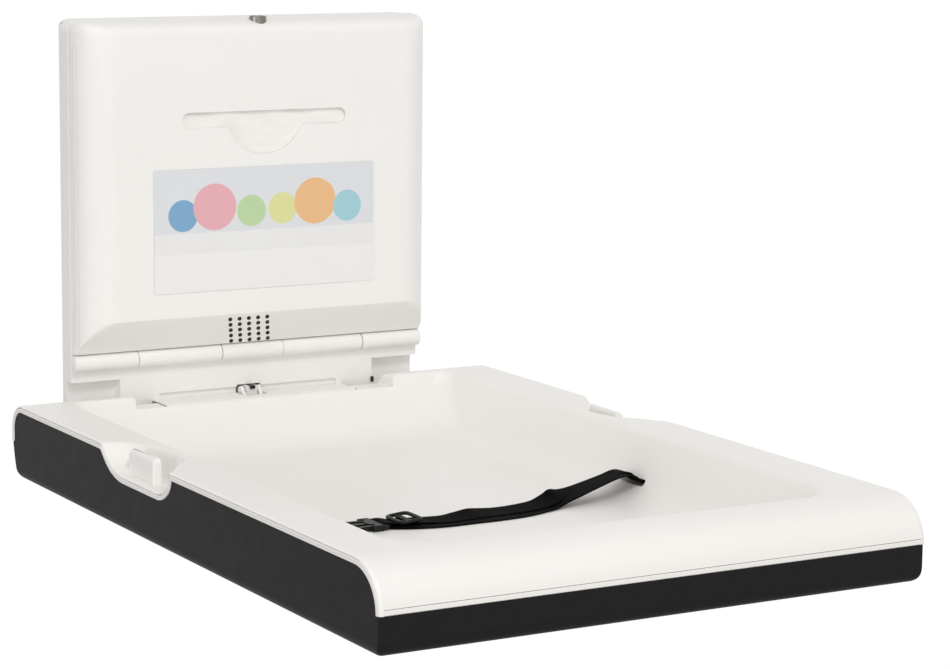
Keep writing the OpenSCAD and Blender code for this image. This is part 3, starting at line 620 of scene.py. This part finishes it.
def tray():
    """The white basin with its rims, scoops and side bands, and then the black shell."""
    tool = scoop_tool()
    path = side_path(tool)
    lip = [(REAR, -40.0), (REAR, -32)]
    prof = (lip + arc(REAR - ROLL, -ROLL, ROLL, ROLL, 0, 90, 28)
            + arc(FRONT + 45.2, -42, 44.6, 42, 90, 172, 34))
    prof += [(FRONT + 0.75, -36.7), (FRONT + 1.3, -37.2), (FRONT + 0.1, -37.8), (FRONT, -38.4),
             (FRONT, -41.3), (FRONT + 0.7, -42), (FRONT + 8, -42), (FRONT + 8, -66), (REAR - 9, -66),
             (REAR - 9, -40)]
    body = prism_x("tray_liner_skin", prof, -TOP_HALF, TOP_HALF, MAT["white"])
    left_tool = mirror_x(tool, "scoop_tool_left")
    # cut-away of the rear rim, with soft upper edges at its ends
    soft = [(CUT + 7, 3), (CUT + 3.4, 0.05), (CUT + 2.2, -0.35), (CUT + 1.2, -1.05), (CUT + 0.5, -2.0),
            (CUT + 0.1, -3.2), (CUT, -4.5), (CUT, LEDGE + 1.5), (CUT - 0.45, LEDGE + 0.45),
            (CUT - 1.5, LEDGE)]
    round_end = [(CUT + 9, 3), (CUT + 8, 0.02)] + arc(CUT + 7, -7, 7, 6.95, 90, 180, 10) + soft[-3:]
    notch = prism_y("notch_tool", round_end + [(-x, z) for x, z in reversed(soft)], -78.8, 5)
    tools = [basin_tool(), tool, left_tool, notch]
    tools.append(box("tongue_tool", (-115, -68.2, -80), (115, 5, 5)))
    tools.append(box("knuckle_tool", (-153.4, -63, -58), (153.4, 5, LEDGE - 3.5)))
    for s in (-1, 1):
        c = -495 if s > 0 else -500
        slot = round_path([(c, -41), (c + 20, -41), (c + 20, -47.5), (c - 20, -47.5), (c - 20, -41),
                           (c, -41)], [2.5, 2.5, 2.5, 2.5], 4)[1:]
        tools.append(prism_x("slot_tool", slot, s * 190, s * 236))
    cut(body, tools)
    clean(body)
    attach(body, "tray")
    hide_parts("tray_liner")
    finish_edges(body, 0, smooth=32)
    right = side_band(path)
    left = mirror_x(right, "side_band_left", "tray")
    # shadow lines at the bottom of the band's grooves
    rows = [[(x, y, z) for y, z in offset_path(path, d)]
            for d, x in ((1.75, 277.95), (2.55, 277.95), (2.55, 277.3), (1.75, 277.3))]
    v, f = grid(rows + [rows[0]])
    m = len(path)
    f.append([i * m for i in range(4)])
    f.append([i * m + m - 1 for i in range(4)])
    line = mesh_object("band_line_right", v, f, MAT["gap"], "tray", smooth=0)
    mirror_x(line, "band_line_left", "tray")
    # painted shadow line in the groove across the front lip
    block("band_line_front", (-275.4, FRONT + 0.95, -37.55), (275.4, FRONT + 1.9, -36.85), "gap", "tray")
    shell(path)


def shell(path):
    """Black underside: soft lower edges, its top cut to the white band."""
    rows = []
    levels = [BOTTOM + 16 - 16 * math.cos(math.radians(7.5 * i)) for i in range(13)]
    levels += [-60, -52, -46, -40, 8]
    for z in levels:
        r = interp(z, [BOTTOM, -77.6, -76, -73, -68.5, -60, -50, -40, 8],
                   [-68, -62, -58, -53.5, -50, -47, -44.3, -42.4, -42.4])
        k = max(0.0, (BOTTOM + 16 - z) / 16)
        f = FRONT + 0.4 + 14.5 * (1 - math.sqrt(max(0.0, 1 - k * k)))
        k = max(0.0, (BOTTOM + 9 - z) / 9)
        w = 278.9 - 8.5 * (1 - math.sqrt(max(0.0, 1 - k * k)))
        loop = []
        for cx, cy, a0, rx, ry in ((w - 1, r - 1, 0, 1, 1), (-w + 1, r - 1, 90, 1, 1),
                                   (-w + 2, f + 5, 180, 2, 5), (w - 2, f + 5, 270, 2, 5)):
            loop += [(cx + rx * math.cos(math.radians(a0 + 15 * i)),
                      cy + ry * math.sin(math.radians(a0 + 15 * i)), z) for i in range(7)]
        rows.append(loop)
    v, fa = grid(rows, True)
    n = len(rows[0])
    fa += [list(range(n)), list(range((len(rows) - 1) * n, len(rows) * n))]
    body = mesh_object("tray_shell_skin", v, fa, MAT["black"], smooth=0)
    edge = offset_path(path, 7.25)
    cutter = [(30, 20), (30, -40.1), (REAR - 7, -40.1)] + [p for p in edge if p[1] > -40.0 and p[0] > -840]
    cutter += [p for p in edge if p[0] <= -840 and p[1] > -42.2]
    cutter += [(FRONT + 7.2, -42.25), (-900, -42.25), (-900, 20)]
    tools = [prism_x("shell_top_tool", cutter, -300, 300),
             box("shell_hollow", (-275.4, FRONT + 8, -68.5), (275.4, -52, 30)),
             box("shell_hinge", (-116, -67, -47.5), (116, 5, 5)),
             box("shell_knuckles", (-154, -63, -41.5), (154, 5, 5))]
    cut(body, tools)
    clean(body)
    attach(body, "tray")
    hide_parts("tray_shell")
    finish_edges(body, 0.5, 50, 2, smooth=32)


def bag_hooks():
    """Upright tabs in the scoops, with softened edges and a top that slopes outwards."""
    x0, x1, y0, y1 = 256.6, 266.2, -376.5, -317.5
    rows = []
    for z, g in ((-28, 0.8), (-26, 0.2), (-23, 0), (-6, 0), (-3.4, -0.25), (-1.9, -0.8), (-0.8, -1.7),
                 (-0.2, -2.8), (0.0, -4.2)):
        plan = round_path([((x0 + x1) / 2, y1 + g), (x1 + g, y1 + g), (x1 + g, y0 - g), (x0 - g, y0 - g),
                           (x0 - g, y1 - 14 + g), (x0 + 3.4 - min(g, 0) * 0.3, y1 + g),
                           ((x0 + x1) / 2, y1 + g)],
                          [2.2, 1.8, 1.8, 5, 1.6], 5)[1:-1]
        if len(rows) and len(plan) != len(rows[0]):
            continue
        rows.append([(x, y, z - (0.28 * max(0, x - x0 - 2) if z > -7 else 0)) for x, y in plan])
    v, f = grid(rows, True)
    n = len(rows[0])
    f += [list(range(n)), list(range((len(rows) - 1) * n, len(rows) * n))]
    right = mesh_object("bag_hook_right_skin", v, f, MAT["satin"], "tray", ("bag_hook_right",), smooth=50)
    w = right.modifiers.new("normals", "WEIGHTED_NORMAL")
    w.keep_sharp = True
    mirror_x(right, "bag_hook_left_skin", "tray", ("bag_hook_left",))


# ------------------------------------------------------------------ dispenser cover

COVER = 207.5
DEPTH = 74.0


def cover_rows(o):
    """Rows of points over the cover's outside, inset by o."""
    top, foot_y, foot_z, ch_z = 397.0 - o, -40.5 + o * 1.35, 43.8 - o * 0.05, 81 + o * 0.45
    levels = []
    for i in range(9):
        k = i / 8
        levels.append((foot_z + (ch_z - foot_z) * k, foot_y + (-DEPTH + o - foot_y) * k))
    for z in (84, 92, 108, 150, 200, 240, 268, 283, 299, 320, 350, 366, 374):
        levels.append((z, -DEPTH + o))
    for i in range(0, 19):
        a = math.radians(90 * i / 18)
        levels.append((379 + (18 - o) * math.sin(a), -34 - (40 - o) * math.cos(a)))
    rows = []
    xe = COVER - 40
    for z, yf in levels:
        row = []
        pts = []
        for i in range(0, 25):
            a = math.radians(90 * i / 24)
            pts.append((xe + (40 - o) * math.sin(a), -34 - (40 - o) * math.cos(a)))
        half = [(xe * k / 6, -DEPTH + o) for k in range(6)] + pts + [(COVER - o, -28.3)]
        for x, y in half:
            # soft meeting of the sides with the front, the foot and the top
            d = y - yf
            kk = 2.5 + 15 * max(0.0, min(1.0, (z - 340) / 40))
            h = max(0.0, kk - abs(d)) / kk
            yy = max(y, yf) + h * h * kk * 0.25
            row.append((x, min(yy, -28.3), z))
        full = [(-x, y, zz) for x, y, zz in reversed(row)] + row[1:]
        out = []
        for x, y, zz in full:
            s = 1 if x >= 0 else -1
            u, v = (abs(x) - (COVER - o - 14)) / 14, (zz - (top - 14)) / 14
            if u > 0 and v > 0:
                u, v = min(u, 1), min(v, 1)
                x = s * (COVER - o - 14 + 14 * u * math.sqrt(1 - v * v / 2))
                zz = top - 14 + 14 * v * math.sqrt(1 - u * u / 2)
            out.append((x, y, zz))
        rows.append(out)
    return rows


def cover():
    """The dispenser's cover: a thin shell with its slot, thumb cut-out, vents and hinge barrels."""
    outer, inner = cover_rows(0), cover_rows(3.2)
    v, f = grid(outer)
    n, m = len(outer[0]), len(outer)
    base = len(v)
    v2, f2 = grid(inner)
    v += v2
    f += [[a + base for a in reversed(q)] for q in f2]
    ring = list(range(n)) + [i * n + n - 1 for i in range(1, m)]
    ring += [(m - 1) * n + j for j in range(n - 2, -1, -1)] + [i * n for i in range(m - 2, 0, -1)]
    for a, b in zip(ring, ring[1:] + ring[:1]):
        f.append([a, b, b + base, a + base])
    body = mesh_object("dispenser_cover_skin", v, f, MAT["frame_white"], smooth=0)
    tools = []
    # liner slot with its thumb cut-out
    outline = []
    r, h, zc = 8.3, 97, 290.5
    outline += arc(h - r, zc, r, r, -90, 90, 16) + arc(-h + r, zc, r, r, 90, 270, 16)
    th = []
    for i in range(33):
        a = math.radians(192 + 156 * i / 32)
        th.append((45.5 * math.cos(a), zc - r + 9.5 + 39.5 * math.sin(a)))
    th = [(x, min(z, zc - r)) for x, z in th]
    th[0], th[-1] = (-46.5, zc - r), (46.5, zc - r)
    outline += th
    tools.append(prism_y("slot_cut", outline, -80, -66))
    slope = math.atan2(DEPTH - 40.5, 81 - 43.8)
    vent_dx, vent_row, vent_lean, vent_skew, vent_r = 11, 9.4, 3.2, 0.4, 2.55
    down = Vector((0, -math.sin(slope), math.cos(slope)))
    vent_shade_verts, vent_shade_faces = [], []
    for i in range(-2, 3):
        for j in range(-2, 3):
            c = Vector((-11.2 + i * vent_dx - j * vent_lean, -55.7, 60.7)) + down * j * vent_row
            d = Vector((0, 1, 0))
            ring0 = []
            for k in range(20):
                a = math.tau * k / 20
                ring0.append(Vector((math.cos(a) - vent_skew * math.sin(a), -math.sin(a) * math.tan(slope),
                                     math.sin(a))) * vent_r)
            v0 = [tuple(c + e - d * 8) for e in ring0] + [tuple(c + e + d * 8) for e in ring0]
            f0 = [list(range(20)), list(range(39, 19, -1))]
            f0 += [[k, (k + 1) % 20, 20 + (k + 1) % 20, 20 + k] for k in range(20)]
            tools.append(mesh_object("vent", v0, f0, None, smooth=0))
            # near-black plugs just behind each vent hole: painted shade in the holes
            vent_shade_verts += [tuple(c + e * 1.05 + d * 0.45) for e in ring0]
            vent_shade_verts += [tuple(c + e * 1.05 + d * 1.4) for e in ring0]
            k0 = len(vent_shade_verts) - 40
            vent_shade_faces += [[q + k0 for q in face] for face in f0]
    cut(body, tools)
    clean(body)
    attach(body, "cover")
    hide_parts("dispenser_cover")
    finish_edges(body, 0.45, 45, 2, smooth=30)
    mesh_object("vent_hole_shade", vent_shade_verts, vent_shade_faces, MAT["buckle"], "cover", smooth=0)
    # the cover's two hinge barrels
    for s, name in ((1, "right"), (-1, "left")):
        b = barrel("cover_barrel_" + name, 36.9, 134.3, "cover")
        if s < 0:
            for q in b.data.vertices:
                q.co.x = -q.co.x
            b.data.flip_normals()


def barrel(name, x0, x1, body, r=9.5):
    """A hinge barrel with softened ends."""
    rows = []
    prof = [(x0, r - 1.0), (x0 + 0.15, r - 0.45), (x0 + 0.5, r - 0.1), (x0 + 1.1, r), (x1 - 1.1, r),
            (x1 - 0.5, r - 0.1), (x1 - 0.15, r - 0.45), (x1, r - 1.0)]
    for x, rad in [(x0, 3.2)] + prof + [(x1, 3.2)]:
        rows.append([(x, -34 + rad * math.cos(math.tau * k / 48), 33.5 + rad * math.sin(math.tau * k / 48))
                     for k in range(48)])
    v, f = grid(rows, True)
    n = 48
    f += [list(range(n)), list(range((len(rows) - 1) * n, len(rows) * n))]
    return mesh_object(name, v, f, MAT["frame_white"], body, smooth=40)


# ------------------------------------------------------------------ hinge

def housing():
    """The hinge housing: a tongue that reaches from the wall unit into the tray's rear rim."""
    top, w = -13.3, 113.9
    prof = [(-27.7, top), (-62.5, top)] + arc(-62.5, top - 4, 4, 4, 90, 180, 6)
    prof += [(-66.5, -28)] + arc(-50, -29, 16.5, 16.2, 184, 268, 14) + [(-27.7, -45.2)]
    body = prism_x("hinge_housing_skin", prof, -w, w, MAT["satin"])
    cut(body, [box("slot", (-14.2, -50, -60), (14.2, 0, 5)),
               box("hub", (-14.2, -62, -42), (14.2, -40, -16.5))])
    clean(body)
    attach(body, "wall_unit")
    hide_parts("hinge_housing")
    finish_edges(body, 0.5, 50, 2)
    # painted shade: dark blocks in the gaps beside the tongue, in the opening by the hinge knuckle and in the
    # hole of the damper's yoke
    for k, (a, b) in enumerate((((-114.9, -66.4, -44), (-113.95, -28, -14.1)),
                                ((113.95, -66.4, -44), (114.9, -28, -14.1)))):
        block("tongue_gap_shade_" + ("left", "right")[k], a, b, "gap", "wall_unit")
    block("knuckle_opening_shade", (150.6, -33.4, -14.2), (153.6, -28.2, -8.4), "rubber", "wall_unit")
    block("yoke_hole_shade", (-2.8, -41.4, -8.6), (2.8, -31.5, -4.9), "buckle", "damper")


def frame_skin():
    """The wall frame, narrower where it meets the wall."""
    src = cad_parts["wall_frame"]
    o = bpy.data.objects.new("wall_frame_skin", src.data.copy())
    o.data.transform(src.matrix_world)
    bpy.context.scene.collection.objects.link(o)
    o.data.materials.clear()
    o.data.materials.append(MAT["frame_white"])
    d = o.modifiers.new("planar", "DECIMATE")
    d.decimate_type = "DISSOLVE"
    d.angle_limit = math.radians(0.5)
    apply_modifiers(o)
    cut(o, [box("step", (-230, -8, -200), (-205, 9, 500)), box("step", (205, -8, -200), (230, 9, 500))])
    for k in (-1, 1):
        corner = [(k * 212, 400), (k * 212, 383)]
        corner += [(k * x, z) for x, z in arc(195.2, 383.2, 12.9, 12.9, 0, 90, 10)] + [(k * 195, 400)]
        cut(o, [prism_y("corner", corner, -45, 9)])
        inner = [(k * x, z) for x, z in arc(195.2, 383.2, 9, 9, 90, 0, 10)]
        fill = prism_y("frame_corner_left" if k < 0 else "frame_corner_right",
                       [(k * x, z) for x, z in arc(195.2, 383.2, 12.7, 12.7, 0, 90, 10)] + inner, -27.2,
                       -8.3, MAT["frame_white"])
        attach(fill, "wall_unit")
    clean(o)
    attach(o, "wall_unit")
    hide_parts("wall_frame")
    finish_edges(o, 0.9, 35, 2)
    for s in (-1, 1):
        block("lug_cover_left" if s < 0 else "lug_cover_right", (s * 60 - 5.6, -28.1, -17),
              (s * 60 + 5.6, -27.5, -11.4), "frame_white", "wall_unit")


def lock_ring():
    """The lock's round housing, nearly flush with the cover's top."""
    rows = []
    for r, z in ((9.2, 372), (9.2, 397.6), (8.8, 398.2), (6.9, 398.2), (6.2, 397.4), (6.2, 372)):
        rows.append([(r * math.cos(math.tau * k / 48), -55.2 + r * math.sin(math.tau * k / 48), z)
                     for k in range(48)])
    v, f = grid(rows + [rows[0]], True)
    # the ring's darkened steel is painted reflection
    mesh_object("lock_housing_skin", v, f, MAT["dark"], "cover", ("lock_housing",), smooth=30)


def side_lines():
    """Two fine lines of painted shade down each side of the cover, where its moulded lines run."""
    for k in (-1, 1):
        for i, (y, x) in enumerate(((-41.9, 206.72), (-48.0, 204.97))):
            xs = sorted((k * (x - 0.5), k * (x + 0.07)))
            block("cover_line_" + ("left_" if k < 0 else "right_") + str(i + 1),
                  (xs[0], y - 0.22, 52), (xs[1], y + 0.22, 372), "seam_line_shade", "cover")


def liner_sheet():
    """The top paper liner, a little wavy, just behind the slot."""
    rows = []
    xs = [-117 + 3 * i for i in range(79)]
    for i in range(25):
        z = 240 + 3 * i
        wavy = [(x, -69.2 + 0.45 * math.sin(x * 0.11 + i * 0.5) + 0.3 * math.sin(x * 0.047 - i * 0.33), z)
                for x in xs]
        rows.append(wavy + [(x, -66.6, z) for x in reversed(xs)])
    v, f = grid(rows, True)
    n = len(rows[0])
    f += [list(range(n)), list(range((len(rows) - 1) * n, len(rows) * n))]
    mesh_object("paper_top_sheet", v, f, MAT["paper"], "wall_unit", smooth=50)


def frame_caps():
    """Caps over the ends of the cover's hinge pin."""
    for s in (-1, 1):
        ring0 = [(s * 206.9, -34 + 4.2 * math.cos(math.tau * k / 32), 33.5
                  + 4.2 * math.sin(math.tau * k / 32)) for k in range(32)]
        ring1 = [(s * 207.9, y, z) for x, y, z in ring0]
        v, f = grid([ring0, ring1], True)
        f += [list(range(32)), list(range(32, 64))]
        mesh_object("pin_cap_right" if s > 0 else "pin_cap_left", v, f, MAT["frame_white"], "wall_unit")


# ------------------------------------------------------------------ label

def label():
    """A plain label: a pale band with a row of soft discs, and a plain lower part."""
    m, t, b = nodes_of("label_film")
    tc = t.nodes.new("ShaderNodeTexCoord")
    sep = t.nodes.new("ShaderNodeSeparateXYZ")
    t.links.new(tc.outputs["Object"], sep.inputs[0])

    def math_node(op, a, c=None):
        n = t.nodes.new("ShaderNodeMath")
        n.operation = op
        for k, q in enumerate((a, c)):
            if q is None:
                continue
            if isinstance(q, (int, float)):
                n.inputs[k].default_value = q
            else:
                t.links.new(q, n.inputs[k])
        return n.outputs[0]

    def mix(fac, a, c):
        n = t.nodes.new("ShaderNodeMix")
        n.data_type = "RGBA"
        t.links.new(fac, n.inputs["Factor"])
        for q, key in ((a, 6), (c, 7)):
            if isinstance(q, tuple):
                n.inputs[key].default_value = (*q, 1)
            else:
                t.links.new(q, n.inputs[key])
        return n.outputs[2]

    lower = math_node("LESS_THAN", sep.outputs["Z"], (149.0 + RIM) / 1000)
    pale = math_node("LESS_THAN", sep.outputs["Z"], (171.0 + RIM) / 1000)
    col = mix(pale, (0.735, 0.752, 0.785), (0.83, 0.83, 0.83))
    col = mix(lower, col, (0.87, 0.866, 0.856))
    discs = [(-97, 198, 17, (0.20, 0.40, 0.62)), (-60, 206, 25, (0.80, 0.42, 0.47)),
             (-17, 200, 17, (0.50, 0.68, 0.38)), (20, 201, 17, (0.74, 0.74, 0.34)),
             (59, 207, 25, (0.84, 0.50, 0.24)), (98, 200, 17, (0.36, 0.62, 0.70))]
    for x, z, r, c in discs:
        dx = math_node("SUBTRACT", sep.outputs["X"], x / 1000)
        dz = math_node("SUBTRACT", sep.outputs["Z"], (z - 8 + RIM) / 1000)
        d2 = math_node("ADD", math_node("MULTIPLY", dx, dx), math_node("MULTIPLY", dz, dz))
        col = mix(math_node("LESS_THAN", d2, (r / 1000) ** 2), col, c)
    t.links.new(col, b.inputs["Base Color"])
    b.inputs["Roughness"].default_value = 0.35
    b.inputs["Coat Weight"].default_value = 0.15
    MAT["label"] = m
    low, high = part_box("info_label")
    lo, hi = low * 1000, high * 1000
    x0, x1, z0, z1 = lo[0], hi[0], lo[2] - RIM, hi[2] - RIM
    out = []
    for cx, cz, a in ((x1 - 1.5, z1 - 1.5, 0), (x0 + 1.5, z1 - 1.5, 90), (x0 + 1.5, z0 + 1.5, 180),
                      (x1 - 1.5, z0 + 1.5, 270)):
        out += arc(cx, cz, 1.5, 1.5, a, a + 90, 6)
    o = prism_y("info_label_film", out, -74.28, -73.9, m)
    shade(o, 30)
    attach(o, "cover")
    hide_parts("info_label")


# ------------------------------------------------------------------ restraint strap

def ribbon(name, stations, width, thick, body, replaces=()):
    """A flat band through stations of (centre, across direction), with edges slightly rounded."""
    rows, uv_len = [], [0.0]
    for i, (c, across) in enumerate(stations):
        c, across = Vector(c), Vector(across).normalized()
        a = Vector(stations[max(0, i - 1)][0])
        b = Vector(stations[min(len(stations) - 1, i + 1)][0])
        along = (b - a).normalized()
        across = (across - along * across.dot(along)).normalized()
        up = across.cross(along).normalized()
        if up.z < 0:
            up = -up
        if i:
            uv_len.append(uv_len[-1] + (c - Vector(stations[i - 1][0])).length)
        w, h = width / 2, thick / 2
        sec = [(-w, -h * 0.4), (-w, h * 0.4), (-w + 0.5, h), (-w + 1.6, h * 1.12), (-w / 2, h),
               (0, h * 0.96), (w / 2, h), (w - 1.6, h * 1.12), (w - 0.5, h), (w, h * 0.4), (w, -h * 0.4),
               (w - 0.5, -h), (w / 2, -h), (0, -h), (-w / 2, -h), (-w + 0.5, -h)]
        rows.append([tuple(c + across * s + up * t) for s, t in sec])
    v, f = grid(rows, True)
    n = len(rows[0])
    caps = [list(range(n)), list(range((len(rows) - 1) * n, len(rows) * n))]
    me = bpy.data.meshes.new(name)
    me.from_pydata([P(*q) for q in v], [], f + caps)
    uv = me.uv_layers.new(name="weave")
    for poly in me.polygons:
        for li in poly.loop_indices:
            vi = me.loops[li].vertex_index
            i, j = divmod(vi, n)
            uv.data[li].uv = (uv_len[i], sec[j][0])
    bm = bmesh.new()
    bm.from_mesh(me)
    bmesh.ops.recalc_face_normals(bm, faces=bm.faces)
    bm.to_mesh(me)
    bm.free()
    o = bpy.data.objects.new(name, me)
    bpy.context.scene.collection.objects.link(o)
    me.materials.append(MAT["webbing"])
    shade(o, 50)
    if body:
        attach(o, body)
    if replaces:
        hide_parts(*replaces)
    return o


def spline(points, n):
    """n+1 points on a smooth curve through the given ones (Catmull-Rom), any dimension."""
    pts = [Vector(p) for p in points]
    pts = [pts[0] * 2 - pts[1]] + pts + [pts[-1] * 2 - pts[-2]]
    segs = len(pts) - 3
    out = []
    for i in range(n + 1):
        u = segs * i / n
        k = min(int(u), segs - 1)
        t = u - k
        a, b, c, d = pts[k:k + 4]
        out.append(0.5 * ((2 * b) + (c - a) * t + (2 * a - 5 * b + 4 * c - d) * t * t
                          + (3 * b - a - 3 * c + d) * t ** 3))
    return out


STRAP_Y = -500.0
PLUG_X, SLIDE_X = -86.0, -50.0


def band_route(name, route, n, thick, body, replaces=()):
    """A ribbon through (x, y, z, tilt) stations; the tilt raises the rear edge."""
    pts = spline([r[:3] for r in route], n)
    tilt = spline([(r[3], 0, 0) for r in route], n)
    stations = [(p, (0, math.cos(math.radians(q.x)), math.sin(math.radians(q.x))))
                for p, q in zip(pts, tilt)]
    ribbon(name, stations, 25, thick, body, replaces)


def strap():
    """The long webbing in two plies with its turn round the plug, and the short left strap."""
    low = [(228, -500, -45.5, 0), (214, -500, -45.4, 0), (205, -500, -44.8, 0), (198.5, -500.5, -41, -3),
           (193, -501, -37.6, -5), (186, -502, -35.8, -6), (177, -502, -36.4, -6), (166, -502, -39, -6),
           (154, -502.5, -42.4, -5), (141, -502, -46.4, -3), (127, -502, -50.8, -2), (113, -501.5, -55.2, 0),
           (101, -503.5, -58.4, 1), (85, -508, -59.6, 0), (59, -516, -59.9, 0), (31, -519, -59.9, 0),
           (4, -519, -59.9, 0), (-31, -519, -59.8, 0), (-58, -513, -59.7, 0), (-76, -505, -59.6, 0),
           (PLUG_X + 3, -500, -59.4, 0)]
    band_route("strap_webbing", low, 200, 1.2, "tray", ("strap_right",))
    upper = [(228, -490, -43.9, 0), (214, -490, -43.8, 0), (205, -490, -43, 0), (199, -489.5, -39, -2),
             (194, -489, -35.8, -3), (186, -489, -35.4, -4), (175, -489, -38.6, -4), (162, -489, -42, -3),
             (150, -489.5, -44.8, -2), (138, -490, -47.6, 0), (129, -490, -49.8, 4), (120, -491, -51, 11),
             (113, -492, -51.2, 17), (106.5, -494, -53, 13), (97, -497, -55, 9), (85, -500, -56.8, 6),
             (64, -503, -57.6, 5), (42, -504, -57.9, 5), (25, -505, -57.2, 8), (11, -506, -56.6, 11),
             (-4, -507, -57.5, 7), (-20, -508, -58.2, 3), (-38, -504, -58.2, 1), (-50, -501, -58.0, 0),
             (-66, -500, -58.2, 0)]
    band_route("strap_webbing_upper", upper, 200, 1.1, "tray")
    # turn of the webbing round the plug's bar and back to the slide
    y, x = STRAP_Y, PLUG_X
    loop = [(x + 6, y, -59.6), (x + 1.5, y, -59.9), (x - 2, y, -59.8), (x - 4.2, y, -58.9),
            (x - 4.6, y, -57.4), (x - 3.6, y, -55.6), (x - 0.5, y, -54.8), (x + 5, y, -55.4),
            (x + 12, y, -57.0), (x + 20, y, -57.2), (x + 26, y, -56.2)]
    ribbon("strap_turn", [(q, (0, 1, 0)) for q in spline(loop, 80)], 25, 1.2, "tray")
    left = [(-228, y, -44.4), (-216, y, -44.2), (-206, y, -43.6), (-196, y, -46), (-186, y, -49.5),
            (-176, y, -51.2), (-169, y, -51.6), (-166.6, y, -52.4), (-166.0, y, -55), (-166.4, y, -57),
            (-169, y, -57.7), (-172.4, y, -56.6), (-172.9, y, -54), (-173.4, y, -52.2)]
    ribbon("strap_webbing_left", [(q, (0, 1, 0)) for q in spline(left, 90)], 25, 1.2, "tray", ("strap_left",))


def tilted(points, at, angle):
    """Points turned by an angle about the Y direction through (x, z)."""
    c, s = math.cos(math.radians(angle)), math.sin(math.radians(angle))
    return [(at[0] + (x - at[0]) * c + (z - at[1]) * s, y, at[1] - (x - at[0]) * s + (z - at[1]) * c)
            for x, y, z in points]


def bar_path(name, loop, radius, body, squash=1.0, mat="buckle", n=10):
    """A closed moulded bar along a loop of points."""
    rows = []
    m = len(loop)
    for i in range(m):
        p, a, b = Vector(loop[i]), Vector(loop[i - 1]), Vector(loop[(i + 1) % m])
        t = (b - a).normalized()
        u = t.cross(Vector((0, 0, 1)))
        u = u.normalized() if u.length > 1e-6 else Vector((1, 0, 0))
        w = u.cross(t).normalized()
        rows.append([tuple(p + u * radius * math.cos(math.tau * k / n)
                           + w * radius * squash * math.sin(math.tau * k / n)) for k in range(n)])
    rows.append(rows[0])
    v, f = grid(rows, True)
    return mesh_object(name, v, f, MAT[mat], body, smooth=60)


def slide():
    """The three-bar slide: an oblong ring with a middle bar, tipped up by the webbing."""
    x0, x1, w = SLIDE_X - 22, SLIDE_X, 16.2
    cx, y = (x0 + x1) / 2, STRAP_Y
    outline = round_path([(cx, y - w), (x1, y - w), (x1, y + w), (x0, y + w), (x0, y - w), (cx, y - w)],
                         [5, 5, 5, 5], 6)[:-1]
    ring = tilted([(px, py, -55.4) for px, py in outline], (x0, -56), -5)
    a = bar_path("strap_slide_ring", ring, 2.3, "tray", 0.8)
    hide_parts("strap_slide")
    mid = tilted([(cx + s * 1.5, y + k, -56.2) for s, k in ((-1, -w), (1, -w), (1, w), (-1, w))],
                 (x0, -56), -5)
    bar_path("strap_slide_bar", mid, 1.5, "tray", 0.8)


# ------------------------------------------------------------------ CAD nodes that stay

def dress(node, mat, bevel=0.0, angle=35, segments=2):
    """Gives a CAD node its material and rounds its edges with modifiers; its mesh stays as it is."""
    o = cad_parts[node]
    o.data.materials.clear()
    o.data.materials.append(MAT[mat])
    if bevel:
        d = o.modifiers.new("planar", "DECIMATE")
        d.decimate_type = "DISSOLVE"
        d.angle_limit = math.radians(0.5)
        b = o.modifiers.new("bevel", "BEVEL")
        b.width = bevel / 1000
        b.segments = segments
        b.limit_method = "ANGLE"
        b.angle_limit = math.radians(angle)
        b.miter_outer = "MITER_ARC"
        w = o.modifiers.new("normals", "WEIGHTED_NORMAL")
        w.keep_sharp = True


camera()
lights()
backdrop()
materials()
tray()
bag_hooks()
cover()
label()
strap()
slide()
housing()
frame_caps()
frame_skin()
side_lines()
liner_sheet()
lock_ring()
for name in ("hinge_bracket", "hinge_frame", "crank_pin"):
    dress(name, "satin", 0.4)
for name in ("back_plate", "lock_strike", "damper_clamps", "frame_screws", "bracket_bolts", "lock_nut",
             "lock_cam", "hinge_shaft", "shaft_clips", "strap_anchors", "shell_screws", "cover_pin"):
    dress(name, "steel", 0.3 if name not in ("cover_pin", "hinge_shaft") else 0)
dress("lock_plug", "bright", 0.25)
dress("damper_rod", "bright")
dress("damper_cylinder", "coat", 0.5)
dress("hinge_bushes", "acetal")
dress("damper_yoke", "satin", 0.4)
dress("damper_lever", "satin", 0.4)
dress("stop_bumpers", "rubber", 1.0)
dress("liner_bin", "satin", 0.6)
dress("paper_liners", "paper", 1.0)
for name in ("buckle_plug", "buckle_prong_rear", "buckle_prong_front", "buckle_socket"):
    dress(name, "buckle", 0.35)
